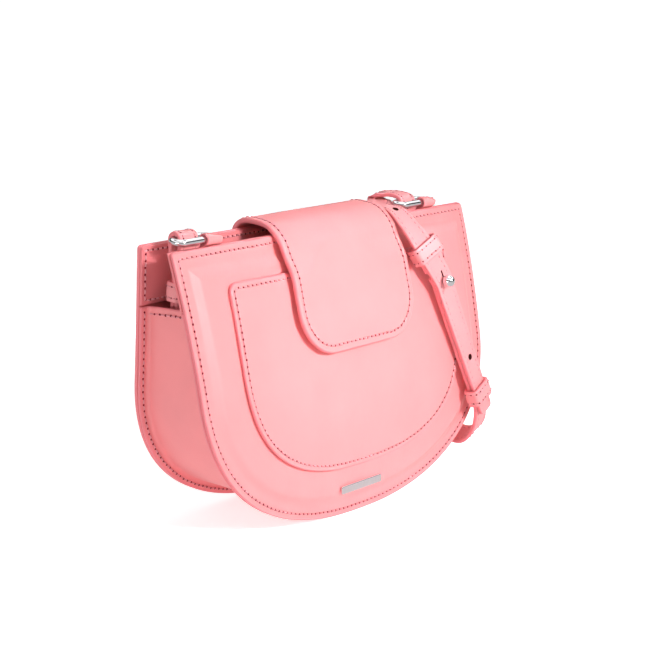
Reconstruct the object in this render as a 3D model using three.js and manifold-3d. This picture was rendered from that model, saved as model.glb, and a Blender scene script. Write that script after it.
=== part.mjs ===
// Small saddle-shaped crossbody purse: flat back, front that swells towards the bottom, U gusset,
// front pocket, magnetic flap, and an adjustable strap on two narrow rings.
// Millimetres. X runs left to right, -Y is the front, +Z is up. Until the last lines, y = 0 is the back
// panel's outer face and z = 0 the lowest point of the body.
import * as THREE from "three";
import { mergeVertices } from "three/addons/utils/BufferGeometryUtils.js";
import Module from "manifold-3d";

// ---- Driving dimensions ----
const HEIGHT = 134; // panels, bottom to top edge
const TOP_HALF = 110; // half the width at the top edge
const WAIST_HALF = 107.6; // half the width where the round bottom starts
const WAIST_Z = 75; // height where the round bottom starts
const ROUND_POWER = 2.3; // squareness of the round bottom
const TOP_DEPTH = 21; // front face to back face at the top edge
const SWELL = 31.2; // extra depth at the bottom
const SWELL_POWER = 1.71;
const GAP = 0.3; // air left between neighbouring layers

const LEATHER = 1.8; // panel leather
const FLANGE = 1.4; // gusset edge sewn to a panel, and facing leather
const WEB_INSET = 5; // gusset wall sits this far inside the panels' edge
const LINING = 0.6;
const BOARD = 0.8;
const PADDING = 1.6;
const PLATEAU = 2; // how far the padded middle of the front stands out
const MARGIN = 8; // flat margin round the padded middle
const FACING_LOW = 107; // lower edge of the back's leather facing inside the mouth
const GUSSET_TOP = 106; // at the back
const GUSSET_RISE = 2.4; // how much higher the gusset's top edge is at the front
const FRONT_FACING_LOW = 109;

const POCKET = { half: 82.3, top: 118.5, low: 24.5, waist: 85, power: 2.6, proud: 4.1 };
const SNAP = { z: 93, r: 7, thick: 0.7, rim: 1.2 };
const FLAP = { half: 43.5, low: 80.3, corner: 22, outer: 1.3, inner: 1, proud: 6, rootLow: 94 };
const HINGE_Z = 127.7; // fold line at the top of the flap's sewn root

const ROD = 1.6; // ring wire radius
const RING_Y = -18.3; // front bar of the rings
const RING_Z = 137;
const RING_DEPTH = 6.6; // front bar to back bar
const RING_SPAN = 22.5; // between the two end bends' outermost centrelines
const TAB_X = 81.8;
const TAB_WIDTH = 10;
const TAB_TUNNEL = 3.4; // closed part of the tab, the rest is an open hood
const TAB_LEATHER = 0.9;
const RING_LEAD = { left: 20.2, right: 19.9 }; // how far each ring reaches to the left of its tab's middle

const STRAP_WIDTH = 12;
const STRAP = 2; // strap thickness
const LAYER = STRAP + GAP; // from one strap layer to the next
const HOLE_R = 1.6;
const STUD_HOLE_R = 2.1; // stretched by the ball
const KEEPER = { long: 9, wall: 1.3, slack: 0.6 };

const LEATHER_LOOK = { color: 0xf59a9e, roughness: 0.45, metalness: 0 };
const INNER_LOOK = { color: 0xe88085, roughness: 0.6, metalness: 0 };
const LINING_LOOK = { color: 0x5a2226, roughness: 0.9, metalness: 0 };
const BOARD_LOOK = { color: 0xb9ab95, roughness: 0.9, metalness: 0 };
const METAL_LOOK = { color: 0xd8d8dc, roughness: 0.12, metalness: 1 };

const wasm = await Module();
wasm.setup();
const purse = new THREE.Group();

// ---- Geometry helpers ----
const v3 = (p) => new THREE.Vector3(...p);

function add(name, geometry, look) {
  const mesh = new THREE.Mesh(geometry, new THREE.MeshStandardMaterial(look));
  mesh.name = name;
  purse.add(mesh);
  return mesh;
}

// Merges the corners and turns the faces outwards.
function closed(geometry) {
  geometry.deleteAttribute("normal");
  geometry.deleteAttribute("uv");
  const solid = mergeVertices(geometry, 1e-4);
  const p = solid.attributes.position;
  const index = Array.from(solid.index.array);
  const kept = [];
  let volume = 0;
  for (let i = 0; i < index.length; i += 3) {
    const [a, b, c] = index.slice(i, i + 3);
    if (a === b || b === c || c === a) continue;
    kept.push(a, b, c);
    const corner = [a, b, c].map((k) => new THREE.Vector3().fromBufferAttribute(p, k));
    volume += corner[0].dot(corner[1].cross(corner[2]));
  }
  if (volume < 0) kept.reverse();
  solid.setIndex(kept);
  solid.computeVertexNormals();
  return solid;
}

// Moves every vertex of a geometry to place(x, y, z).
function bend(geometry, place) {
  const p = geometry.attributes.position;
  for (let i = 0; i < p.count; i++) {
    p.setXYZ(i, ...place(p.getX(i), p.getY(i), p.getZ(i)));
  }
  return closed(geometry);
}

function toManifold(geometry) {
  const g = geometry.index ? geometry : closed(geometry);
  const mesh = { numProp: 3, vertProperties: g.attributes.position.array };
  return new wasm.Manifold(new wasm.Mesh({ ...mesh, triVerts: new Uint32Array(g.index.array) }));
}

function fromManifold(solid) {
  const mesh = solid.getMesh();
  const g = new THREE.BufferGeometry();
  g.setAttribute("position", new THREE.BufferAttribute(new Float32Array(mesh.vertProperties), 3));
  g.setIndex(Array.from(mesh.triVerts));
  g.computeVertexNormals();
  return g;
}

const cut = (a, b) => fromManifold(toManifold(a).subtract(toManifold(b)));
const join = (a, b) => fromManifold(toManifold(a).add(toManifold(b)));

// ---- The body's shape ----
function roundBottom(z, half, waist, low, power) {
  const drop = Math.min(1, Math.max(0, (waist - z) / (waist - low)));
  return half * Math.pow(1 - Math.pow(drop, power), 1 / power);
}

function halfWidth(z) {
  const flare = (TOP_HALF - WAIST_HALF) * Math.max(0, (z - WAIST_Z) / (HEIGHT - WAIST_Z));
  return flare + roundBottom(z, WAIST_HALF, WAIST_Z, 0, ROUND_POWER);
}

// The front panel's outer face at its edge.
const frontY = (z) => -(TOP_DEPTH + SWELL * (1 - Math.pow(Math.max(z, 0) / HEIGHT, SWELL_POWER)));

// One side of an outline, from its top down to the middle of its bottom, as [x, z] pairs.
function side(top, waist, low, power, widthAt, steps = 11) {
  const points = [];
  const straight = 2;
  for (let i = 0; i < straight; i++) {
    const z = top + ((waist - top) * i) / straight;
    points.push([widthAt(z), z]);
  }
  for (let i = 0; i <= steps; i++) {
    const angle = (i / steps) * (Math.PI / 2);
    const z = waist - (waist - low) * Math.pow(Math.sin(angle), 2 / power);
    const x = i === steps ? 0 : widthAt(waist) * Math.pow(Math.cos(angle), 2 / power);
    points.push([x, z]);
  }
  return points;
}

const mirror = (points) => points.map(([x, z]) => [-x, z]).reverse();

// Down the right side, up the left side, and back along the top edge.
function loop(right, topSteps = 6) {
  const points = [...right, ...mirror(right).slice(1)];
  const [x, z] = right[0];
  for (let i = 1; i < topSteps; i++) points.push([-x + (2 * x * i) / topSteps, z]);
  return points;
}

const bodySide = (top) => side(top, WAIST_Z, 0, ROUND_POWER, halfWidth);

// Moves a closed outline inwards by a distance, with mitred corners.
function inset(points, distance) {
  const n = points.length;
  return points.map((p, i) => {
    const a = points[(i + n - 1) % n];
    const b = points[(i + 1) % n];
    const before = new THREE.Vector2(p[0] - a[0], p[1] - a[1]).normalize();
    const after = new THREE.Vector2(b[0] - p[0], b[1] - p[1]).normalize();
    const turn = before.clone().add(after).normalize();
    const mitre = distance / Math.max(0.5, turn.dot(after));
    return [p[0] + turn.y * mitre, p[1] - turn.x * mitre];
  });
}

// A flat plate standing in the XZ plane between two depths.
function flatPlate(points, yFront, yBack) {
  const shape = new THREE.Shape(points.map(([x, z]) => new THREE.Vector2(x, z)));
  const options = { depth: yBack - yFront, bevelEnabled: false };
  const g = new THREE.ExtrudeGeometry(shape, options);
  return bend(g, (x, y, z) => [x, yFront + z, y]);
}

// A plate that follows the front's swell. rings: [inset, scale, front offset, back offset], edge first.
function curvedPlate(outline, rings) {
  const middleZ = (Math.max(...outline.map((p) => p[1])) + Math.min(...outline.map((p) => p[1]))) / 2;
  const faces = [...rings.map((r) => [...r, 2]).reverse(), ...rings.map((r) => [...r, 3])];
  const profile = [[0, 0, 0, 0, 0], ...faces, [0, 0, 0, 0, 0]];
  profile[0][4] = 2;
  profile.at(-1)[4] = 3;
  profile[0][2] = profile.at(-1)[2] = rings.at(-1)[2];
  profile[0][3] = profile.at(-1)[3] = rings.at(-1)[3];
  const count = outline.length;
  const lathe = new THREE.LatheGeometry(profile.map((r) => new THREE.Vector2(r[1], 0)), count);
  const loops = profile.map(([d]) => inset(outline, d));
  const p = lathe.attributes.position;
  for (let i = 0; i <= count; i++) {
    profile.forEach(([, scale, front, back, face], j) => {
      const [x, z] = loops[j][i % count];
      const zz = middleZ + (z - middleZ) * scale;
      const y = frontY(zz) + (face === 2 ? front : back);
      p.setXYZ(i * profile.length + j, x * scale, y, zz);
    });
  }
  return closed(lathe);
}

// A band that spans the width between two heights, following the front's swell or flat.
function band(low, high, half, yFront, yBack, rows = 4) {
  const box = new THREE.BoxGeometry(1, 1, 1, 1, rows, 1);
  return bend(box, (u, v, t) => {
    const z = low + (high - low) * (v + 0.5);
    return [2 * u * half(z), t < 0 ? yFront(z) : yBack(z), z];
  });
}

// A section swept round the U of the gusset. Section points are [inset, depth], where a depth under 50
// is measured forwards from the back face and one over 50 backwards from the front face plus 100.
function uSweep(section, path, { skipped = 0, rise = 0 } = {}) {
  const shape = new THREE.Shape(section.map(([d, y]) => new THREE.Vector2(d, y)));
  const last = path.length - 1;
  const steps = last - 2 * skipped;
  const g = new THREE.ExtrudeGeometry(shape, { depth: steps, steps, bevelEnabled: false });
  const loops = new Map(section.map(([d]) => [d.toFixed(3), inset(path, d)]));
  return bend(g, (d, depth, t) => {
    const i = Math.round(t) + skipped;
    const moved = loops.get(d.toFixed(3))[i];
    const straight = d * Math.sign(path[i][0]);
    const [x, z] = i === 0 || i === last ? [path[i][0] - straight, path[i][1]] : moved;
    if (depth > 50 && (i === 0 || i === last)) return [x, frontY(z + rise) + 100 - depth, z + rise];
    return [x, depth < 50 ? -depth : frontY(z) + 100 - depth, z];
  });
}

// A flat strip along 3-D stations. Each station is [x, y, z, bx, by, bz]: a point on the centreline and
// the direction of the strip's width there.
function stripFrame(stations, offset = 0) {
  const line = new THREE.CatmullRomCurve3(stations.map((s) => v3(s.slice(0, 3))), false, "centripetal");
  const wide = new THREE.CatmullRomCurve3(stations.map((s) => v3(s.slice(3)).normalize()), false, "centripetal");
  return (t) => {
    const tangent = line.getTangent(t);
    const b = wide.getPoint(t);
    b.addScaledVector(tangent, -b.dot(tangent)).normalize();
    const n = new THREE.Vector3().crossVectors(b, tangent).normalize();
    return { p: line.getPoint(t).addScaledVector(n, offset), b, n, tangent };
  };
}

function strip(stations, perStation, { width = STRAP_WIDTH, thick = STRAP, offset = 0 } = {}) {
  const steps = (stations.length - 1) * perStation;
  const frame = stripFrame(stations, offset);
  const frames = Array.from({ length: steps + 1 }, (_, i) => frame(i / steps));
  const box = new THREE.BoxGeometry(1, 1, 1, 1, steps, 1);
  return bend(box, (u, v, t) => {
    const f = frames[Math.round((v + 0.5) * steps)];
    const q = f.p.clone().addScaledVector(f.b, u * width).addScaledVector(f.n, t * thick);
    return [q.x, q.y, q.z];
  });
}

// Places a geometry whose x, y, z are a strip's width, outward normal and length directions.
function onStrip(geometry, f) {
  return bend(geometry, (x, y, z) => {
    const q = f.p.clone().addScaledVector(f.b, x).addScaledVector(f.n, y).addScaledVector(f.tangent, z);
    return [q.x, q.y, q.z];
  });
}

function cylinderOnStrip(f, radius, length) {
  return onStrip(new THREE.CylinderGeometry(radius, radius, length, 16), f);
}

// ---- Back: panel, facing, board and lining ----
const backInner = -LEATHER - GAP; // where the layers behind the panel start
const outline = loop(bodySide(HEIGHT));
const lowOutline = loop(bodySide(FACING_LOW - GAP));
const backBoard = backInner - BOARD;
add("back_panel", flatPlate(outline, -LEATHER, 0), LEATHER_LOOK);
const backFacing = band(FACING_LOW, HEIGHT, halfWidth, () => backInner - FLANGE, () => backInner);
add("back_facing", backFacing, INNER_LOOK);
const layerInset = WEB_INSET + FLANGE + 2 * GAP;
add("back_board", flatPlate(inset(lowOutline, layerInset), backBoard, backInner), BOARD_LOOK);
const backLining = flatPlate(inset(lowOutline, layerInset), backBoard - GAP - LINING, backBoard - GAP);
add("back_lining", backLining, LINING_LOOK);

// ---- Front: moulded panel, padding, facing, lining, pocket, name bar ----
const inner = LEATHER + GAP;
const panelRings = [
  [0, 1, 0, LEATHER],
  [MARGIN, 1, 0, LEATHER],
  [MARGIN + 3.5, 1, -PLATEAU, LEATHER - PLATEAU],
  [MARGIN + 3.5, 0.72, -PLATEAU, LEATHER - PLATEAU],
  [MARGIN + 3.5, 0.36, -PLATEAU, LEATHER - PLATEAU],
];
add("front_panel", curvedPlate(outline, panelRings), LEATHER_LOOK);
const padFront = LEATHER - PLATEAU + GAP;
const plainRings = (d, front, back) => [1, 0.72, 0.36].map((s) => [d, s, front, back]);
const padding = curvedPlate(outline, plainRings(MARGIN + 4.5, padFront, padFront + PADDING));
add("front_padding", padding, BOARD_LOOK);
const facing = (from) => (z) => frontY(z) + from;
add("front_facing", band(FRONT_FACING_LOW, HEIGHT, halfWidth, facing(inner), facing(inner + FLANGE)), INNER_LOOK);
const frontLining = curvedPlate(lowOutline, plainRings(layerInset, inner + FLANGE, inner + FLANGE + LINING));
add("front_lining", frontLining, LINING_LOOK);

const pocketWidth = (z) => roundBottom(z, POCKET.half, POCKET.waist, POCKET.low, POCKET.power);
const pocketSide = side(POCKET.top, POCKET.waist, POCKET.low, POCKET.power, pocketWidth, 10);
const pocketRings = plainRings(0, -POCKET.proud, -PLATEAU - GAP);
add("front_pocket", curvedPlate(loop(pocketSide, 4), pocketRings), LEATHER_LOOK);

// The front's slope, for flat pieces fixed to it.
const slope = (z) => Math.atan((frontY(z + 1) - frontY(z - 1)) / 2);

function onFront(geometry, x, z, proud) {
  geometry.rotateX(-slope(z));
  geometry.translate(x, frontY(z) - proud, z);
  return closed(geometry);
}

const NAME_BAR = { long: 31, tall: 4, thick: 1.2, x: -4, z: 14 };
const bar = new THREE.BoxGeometry(NAME_BAR.long, NAME_BAR.thick, NAME_BAR.tall);
add("name_bar", onFront(bar, NAME_BAR.x, NAME_BAR.z, PLATEAU + GAP + NAME_BAR.thick / 2), METAL_LOOK);
const disc = () => new THREE.CylinderGeometry(SNAP.r, SNAP.r, SNAP.thick, 28);
add("pocket_snap", onFront(disc(), 0, SNAP.z, POCKET.proud + GAP + SNAP.thick / 2), METAL_LOOK);

// ---- Gusset, its lining and the base board ----
const rightRun = bodySide(GUSSET_TOP);
const uPath = [...rightRun, ...mirror(rightRun).slice(1)];
const webIn = WEB_INSET + FLANGE;
const backRim = -backInner;
const frontRim = 100 - inner;
const gussetSection = [
  [0, backRim], [0, backRim + FLANGE], [WEB_INSET, backRim + FLANGE],
  [WEB_INSET, frontRim - FLANGE], [0, frontRim - FLANGE], [0, frontRim],
  [webIn, frontRim], [webIn, backRim],
];
add("gusset", uSweep(gussetSection, uPath, { rise: GUSSET_RISE }), LEATHER_LOOK);
const boardSection = [
  [webIn + GAP, 5.2], [webIn + GAP, 94.6], [webIn + GAP + BOARD, 94.6], [webIn + GAP + BOARD, 5.2],
];
const aboveBase = uPath.findIndex(([, z]) => z < 16);
add("base_board", uSweep(boardSection, uPath, { skipped: aboveBase }), BOARD_LOOK);
const liningIn = webIn + 2 * GAP + BOARD;
const liningSection = [
  [liningIn, 4.6], [liningIn, 95.2], [liningIn + LINING, 95.2], [liningIn + LINING, 4.6],
];
add("gusset_lining", uSweep(liningSection, uPath), LINING_LOOK);

// ---- Flap: a root sewn to the back, and the moving part over the mouth ----
const flapThick = FLAP.outer + GAP + FLAP.inner;
const rootHalf = () => FLAP.half;
const root = band(FLAP.rootLow, HINGE_Z - 0.9, rootHalf, () => GAP, () => GAP + flapThick, 1);
add("flap_root", root, LEATHER_LOOK);

const flapInner = new THREE.CatmullRomCurve3(
  [
    [0.5, HINGE_Z + 0.9], [0.7, 133.4], [-2.8, 136.6], [-10.5, 137.4], [-18, 136.3],
    [-24.6, 131.3], [-28.8, 124.5],
    ...[117, 108, 99, 90, 83, FLAP.low].map((z) => [frontY(z) - FLAP.proud - GAP, z]),
  ].map(([y, z]) => new THREE.Vector3(0, y, z)),
);
const FLAP_STEPS = 40;
const flapLine = Array.from({ length: FLAP_STEPS + 1 }, (_, i) => {
  const point = flapInner.getPoint(i / FLAP_STEPS);
  const along = flapInner.getTangent(i / FLAP_STEPS);
  return { point, out: new THREE.Vector3(0, along.z, -along.y) };
});

function flapHalf(point) {
  if (point.y > -30) return FLAP.half;
  const above = Math.max(0, Math.min(FLAP.corner, point.z - FLAP.low));
  const short = FLAP.corner - Math.sqrt(FLAP.corner ** 2 - (FLAP.corner - above) ** 2);
  return FLAP.half - short;
}

function flapLayer(from, to) {
  const box = new THREE.BoxGeometry(1, 1, 1, 2, FLAP_STEPS, 1);
  return bend(box, (u, v, t) => {
    const { point, out } = flapLine[Math.round((v + 0.5) * FLAP_STEPS)];
    const q = point.clone().addScaledVector(out, t < 0 ? from : to);
    return [2 * u * flapHalf(point), q.y, q.z];
  });
}

add("flap_lining", flapLayer(0, FLAP.inner), INNER_LOOK);
add("flap_outer", flapLayer(FLAP.inner + GAP, flapThick), LEATHER_LOOK);
const snapProud = FLAP.proud - 0.1 - SNAP.thick / 2;
add("flap_snap", onFront(disc(), 0, SNAP.z, snapProud), METAL_LOOK);

// ---- Rings and the leather tabs that hold them ----
const TUBE_IN = ROD + GAP;
const TUBE_OUT = TUBE_IN + TAB_LEATHER;

const facingBack = (z) => frontY(z) + inner + FLANGE;

function tabPart(x0, x1, hood) {
  const deg = Math.PI / 180;
  const at = (angle, r) => new THREE.Vector2(r * Math.cos(angle * deg), r * Math.sin(angle * deg));
  const arc = (from, to, r, n = 10) =>
    Array.from({ length: n + 1 }, (_, i) => at(from + ((to - from) * i) / n, r));
  // The stem slopes with the inside of the front.
  const stem = [134.3, 128, 122].map((z) => new THREE.Vector2(facingBack(z) + GAP - RING_Y, z - RING_Z));
  stem.push(...[122, 128].map((z) => new THREE.Vector2(facingBack(z) + GAP + 2 * TAB_LEATHER - RING_Y, z - RING_Z)));
  const outerArc = hood ? arc(90, 270, TUBE_OUT) : arc(-50, 270, TUBE_OUT, 18);
  const innerArc = hood ? [at(310, TUBE_OUT), ...arc(285, 90, TUBE_IN)] : [];
  const shape = new THREE.Shape([...outerArc, ...stem, ...innerArc]);
  if (!hood) shape.holes.push(new THREE.Path(arc(360, 20, TUBE_IN, 17)));
  const g = new THREE.ExtrudeGeometry(shape, { depth: x1 - x0, bevelEnabled: false });
  return bend(g, (y, z, x) => [x0 + x, RING_Y + y, RING_Z + z]);
}

function ring() {
  const bendRadius = RING_DEPTH / 2;
  const straight = RING_SPAN / 2 - bendRadius;
  const torus = new THREE.TorusGeometry(bendRadius, ROD, 12, 22);
  return bend(torus, (x, y, z) => [x + Math.sign(x) * straight, y, z]);
}

for (const [label, middle] of [["left", -TAB_X], ["right", TAB_X]]) {
  const x0 = middle - TAB_WIDTH / 2;
  const seam = x0 + TAB_TUNNEL;
  const tab = join(tabPart(x0, seam, false), tabPart(seam, middle + TAB_WIDTH / 2, true));
  add(`tab_${label}`, tab, LEATHER_LOOK);
  const wire = ring();
  wire.translate(middle - RING_LEAD[label] + RING_SPAN / 2, RING_Y + RING_DEPTH / 2, RING_Z);
  add(`ring_${label}`, wire, METAL_LOOK);
}

// ---- Strap ----
const BAR_Y = RING_Y + RING_DEPTH; // back bar, which carries the strap
const WRAP = ROD + GAP + STRAP / 2;
const wrap = (x, angle) => {
  const a = (angle * Math.PI) / 180;
  return [x, BAR_Y + WRAP * Math.cos(a), RING_Z + WRAP * Math.sin(a), 1, 0, 0];
};

// The part of the strap that lies along the gusset's lining, from one height round to the middle.
function lyingRun(sign, fromZ, middleX) {
  const deep = liningIn + LINING + GAP + STRAP / 2 + 0.6;
  const run = inset(uPath, deep).slice(1, (uPath.length + 1) / 2);
  return run
    .filter(([x, z]) => z < fromZ && x > middleX + 4)
    .concat([[middleX, run.at(-1)[1]]])
    .map(([x, z]) => [sign * x, -15.5 - (SWELL * 0.28 * (fromZ - z)) / fromZ, z, 0, 1, 0]);
}

const LOOP_LEFT = -93;
const leftStations = [
  [LOOP_LEFT, BAR_Y - 0.6, 104, 1, 0, 0],
  [LOOP_LEFT, BAR_Y - 0.6, 112, 1, 0, 0],
  [LOOP_LEFT, BAR_Y - 0.6, 121, 1, 0, 0],
  [LOOP_LEFT, BAR_Y + 1.9, 130.5, 1, 0, 0],
  ...[0, 45, 90, 135, 180].map((a) => wrap(LOOP_LEFT, a)),
  [LOOP_LEFT, BAR_Y - 2.9, 127, 1, 0, 0],
  [LOOP_LEFT, BAR_Y - 2.9, 114, 1, 0, 0],
  [LOOP_LEFT, BAR_Y - 2.9, 108, 1, 0, 0],
  [LOOP_LEFT - 0.2, BAR_Y - 3.2, 103.5, 0.8, 0.6, 0],
  [LOOP_LEFT - 1, BAR_Y - 3.6, 98.5, 0.35, 0.93, 0],
  ...lyingRun(-1, 84, 2),
];
add("strap_left", strip(leftStations, 3), LEATHER_LOOK);

// Front leg on the right, hanging from the ring over the front's top edge: ring first.
const LOOP_RIGHT = 70.4;
const TOP_HOLE = [51.2, -21.5, 136, 1, 0, 0.1];
const STUD = [65.8, -44.2, 102.9];
const LOW_KEEPER = [90.4, -57, 41.5];
const LEG = 65.3; // stud to lower keeper along the strap
const alongLeg = (mm) => {
  const a = v3(STUD.slice(0, 3));
  const step = v3(LOW_KEEPER.slice(0, 3)).sub(a).normalize();
  const p = a.addScaledVector(step, mm);
  const share = Math.min(1, mm / LEG);
  return [p.x, p.y, p.z, 0.92, 0.17 - 0.25 * (1 - share), 0.26 + 0.04 * (1 - share)];
};
const tailStations = [
  ...[330, 270, 225, 180, 135, 90].map((a) => wrap(LOOP_RIGHT, a)),
  [69.4, -7.5, 140.4, 1, 0.1, 0],
  [67.9, -3.4, 140, 0.96, 0.25, 0],
  [66.2, 0, 139.3, 0.95, 0.3, 0],
  [65.7, 1.4, 137.9, 0.97, 0.2, 0],
  [65.3, 0, 136.6, 0.97, 0.1, 0],
  [61.5, -4.4, 136.3, 0.88, -0.4, 0],
  [53.2, -9.8, 136.1, 0.93, -0.3, 0],
  [51.4, -14, 136.4, 0.97, -0.2, 0],
  TOP_HOLE,
  [51.4, -31.9, 129, 0.95, -0.05, 0.2],
  [54.8, -39.9, 119, 0.88, -0.22, 0.32],
  [60.6, -42.7, 110.4, 0.9, -0.14, 0.32],
  alongLeg(0),
  alongLeg(6),
  alongLeg(22),
  alongLeg(44),
  alongLeg(LEG),
  alongLeg(LEG + 11),
];
const tailFrame = stripFrame(tailStations);
const station = (i) => tailFrame(i / (tailStations.length - 1));
// Places along the tail, counted in stations.
const AT = { topHole: 14, keeper: 16, stud: 18, lowHole: 21.02, lowKeeper: 22, tip: 23 };

let tail = strip(tailStations, 3);
for (const [at, r] of [[AT.topHole, HOLE_R], [AT.stud, STUD_HOLE_R], [AT.lowHole, HOLE_R]]) {
  tail = cut(tail, cylinderOnStrip(station(at), r, 8));
}
add("strap_tail", tail, LEATHER_LOOK);

// The long strap: from the middle of the bag's floor, up inside, over the gusset, round below the front's
// right side and up behind the tail to just past the stud.
const insideRun = lyingRun(1, 92, 2).reverse();
const outwards = station(AT.stud).n;
const outSign = Math.sign(-outwards.y);
// A station one layer behind the tail, at a place counted in tail stations.
const under = (at) => {
  const f = station(at);
  return [...f.p.clone().addScaledVector(f.n, -LAYER * outSign).toArray(), ...f.b.toArray()];
};
const mainStations = [
  ...insideRun,
  [97.7, -15.5, 101, 0, 1, 0],
  [99, -15.6, 107.4, 0, 1, 0],
  [102.6, -15.8, 109.4, 0, 1, 0],
  [106.4, -16, 107.4, 0, 1, 0],
  [107.6, -16.6, 100, 0.05, 1, 0],
  [108.2, -18.5, 86, 0.25, 1, 0],
  [107.8, -21.5, 66, 0.6, 0.8, 0],
  [105, -24, 46, 1, 0.4, 0],
  [100, -27, 30, 1, 0.1, 0],
  [98.4, -31.5, 18.5, 0.9, 0.1, 0.4],
  [97.6, -38, 15.8, 0.8, 0, 0.6],
  [96.2, -45, 16.2, 0.8, 0, 0.6],
  [95, -51, 20, 0.88, 0.05, 0.42],
  [94, -54.8, 26, 0.92, 0.1, 0.28],
  ...[22.6, 22.3, 22, 21, 20, 19, 18, 17.45].map(under),
];
let main = strip(mainStations, 3);
main = cut(main, cylinderOnStrip(station(AT.stud), HOLE_R, 12));
add("strap_main", main, LEATHER_LOOK);

// The cut end that returns under the upper keeper.
add("strap_return", strip([15.62, 16, 16.6, 17.05].map(under), 3), LEATHER_LOOK);

// Ball stud through both layers.
const BALL_R = 3.2;
const NECK_R = 1.25;
const studBack = -(LAYER + STRAP / 2 + GAP + 0.8);
const ballLow = STRAP / 2 - 0.45; // the ball starts inside the stretched hole
const studProfile = [[0, studBack], [4.2, studBack], [4.2, studBack + 0.8], [NECK_R, studBack + 0.8]];
const ballMiddle = ballLow + Math.sqrt(BALL_R ** 2 - NECK_R ** 2);
const ballStart = Math.asin(NECK_R / BALL_R);
for (let i = 0; i <= 9; i++) {
  const a = ballStart + ((Math.PI - ballStart) * i) / 9;
  studProfile.push([i === 9 ? 0 : BALL_R * Math.sin(a), ballMiddle - BALL_R * Math.cos(a)]);
}
const stud = new THREE.LatheGeometry(studProfile.map(([r, y]) => new THREE.Vector2(r, y * outSign)), 20);
add("strap_stud", onStrip(stud, station(AT.stud)), METAL_LOOK);

// Keepers: closed bands round two layers.
function keeper(frame, layers, toBack, slack = KEEPER.slack) {
  const w = STRAP_WIDTH / 2 + slack;
  const low = -STRAP / 2 - (layers - 1) * LAYER - slack;
  const high = STRAP / 2 + slack;
  const rectangle = (grow) =>
    [[-w - grow, low - grow], [w + grow, low - grow], [w + grow, high + grow], [-w - grow, high + grow]]
      .map(([x, y]) => new THREE.Vector2(x, y * toBack));
  const shape = new THREE.Shape(rectangle(KEEPER.wall));
  shape.holes.push(new THREE.Path(rectangle(0).reverse()));
  const g = new THREE.ExtrudeGeometry(shape, { depth: KEEPER.long, bevelEnabled: false });
  g.translate(0, 0, -KEEPER.long / 2);
  return onStrip(g, frame);
}

add("keeper_upper", keeper(station(AT.keeper), 2, outSign, 0.95), LEATHER_LOOK);
add("keeper_lower", keeper(station(AT.lowKeeper), 2, outSign), LEATHER_LOOK);
const leftFrame = stripFrame(leftStations)(10 / (leftStations.length - 1));
const leftOut = Math.sign(-leftFrame.n.y);
add("keeper_left", keeper(leftFrame, 2, leftOut), LEATHER_LOOK);

// ---- The part's frame: bottom centre of the bounding box ----
const box = new THREE.Box3().setFromObject(purse);
purse.position.set(-(box.min.x + box.max.x) / 2, -(box.min.y + box.max.y) / 2, -box.min.z);

export default purse;
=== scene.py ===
"""Small saddle-shaped leather crossbody purse: its looks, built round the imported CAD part.

Millimetres until place(), in the part's design axes: X to the right, -Y out of the front, Z up, with
y = 0 on the back panel's outer face and z = 0 at the lowest point. Sheets are built from an outline, a
profile that runs from the middle of one face round the edge to the middle of the other, and a surface
that carries them.
"""

import math

import bpy
import numpy as np
from mathutils import Matrix, Vector


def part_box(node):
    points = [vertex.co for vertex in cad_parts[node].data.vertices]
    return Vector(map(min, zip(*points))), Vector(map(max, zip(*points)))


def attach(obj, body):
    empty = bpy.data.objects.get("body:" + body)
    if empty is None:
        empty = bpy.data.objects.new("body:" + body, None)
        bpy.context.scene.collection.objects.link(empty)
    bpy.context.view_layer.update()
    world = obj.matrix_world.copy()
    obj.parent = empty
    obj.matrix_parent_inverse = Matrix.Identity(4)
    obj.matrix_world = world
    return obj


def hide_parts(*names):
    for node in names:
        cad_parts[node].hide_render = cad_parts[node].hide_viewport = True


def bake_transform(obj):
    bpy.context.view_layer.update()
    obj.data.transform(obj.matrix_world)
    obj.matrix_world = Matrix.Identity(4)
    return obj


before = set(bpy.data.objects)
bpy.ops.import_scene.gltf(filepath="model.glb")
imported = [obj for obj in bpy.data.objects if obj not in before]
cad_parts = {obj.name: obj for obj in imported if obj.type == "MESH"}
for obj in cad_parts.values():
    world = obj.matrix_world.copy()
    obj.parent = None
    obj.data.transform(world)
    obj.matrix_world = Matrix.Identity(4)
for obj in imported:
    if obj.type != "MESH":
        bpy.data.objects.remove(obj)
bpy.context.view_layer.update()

# ---- Driving dimensions, mm ----
HEIGHT = 134.0
TOP_HALF = 110.0
WAIST_HALF = 107.6
WAIST_Z = 75.0
ROUND_POWER = 2.3
TOP_DEPTH = 21.0
SWELL = 31.2
SWELL_POWER = 1.71
GAP = 0.3
LEATHER = 1.8
FLANGE = 1.4
WEB_INSET = 5.0
LINING = 0.6
BOARD = 0.8
PLATEAU = 2.0
FACING_LOW = 107.0
GUSSET_TOP = 106.0
GUSSET_RISE = 2.4
FRONT_FACING_LOW = 109.0
PANEL_CORNER = 1.8
EDGE_ROUND = 0.55
INNER = LEATHER + GAP

POCKET_HALF, POCKET_TOP, POCKET_LOW, POCKET_WAIST = 82.3, 118.5, 24.5, 85.0
POCKET_POWER, POCKET_PROUD, POCKET_CORNER = 2.6, 4.1, 4.5
SNAP_Z, SNAP_R = 93.0, 7.0

FLAP_HALF, FLAP_LOW, FLAP_CORNER, FLAP_PROUD = 43.5, 80.3, 22.0, 6.0
FLAP_THICK = 2.6
ROOT_LOW = 94.0
HINGE_Z = 127.7

ROD = 1.6
RING_Y, RING_Z, RING_DEPTH, RING_SPAN = -18.3, 137.0, 6.6, 22.5
RING_LEAD = {"left": 20.2, "right": 19.9}
TAB_X, TAB_WIDTH, TAB_TUNNEL, TAB_LEATHER = 81.8, 10.0, 3.4, 0.9

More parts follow.
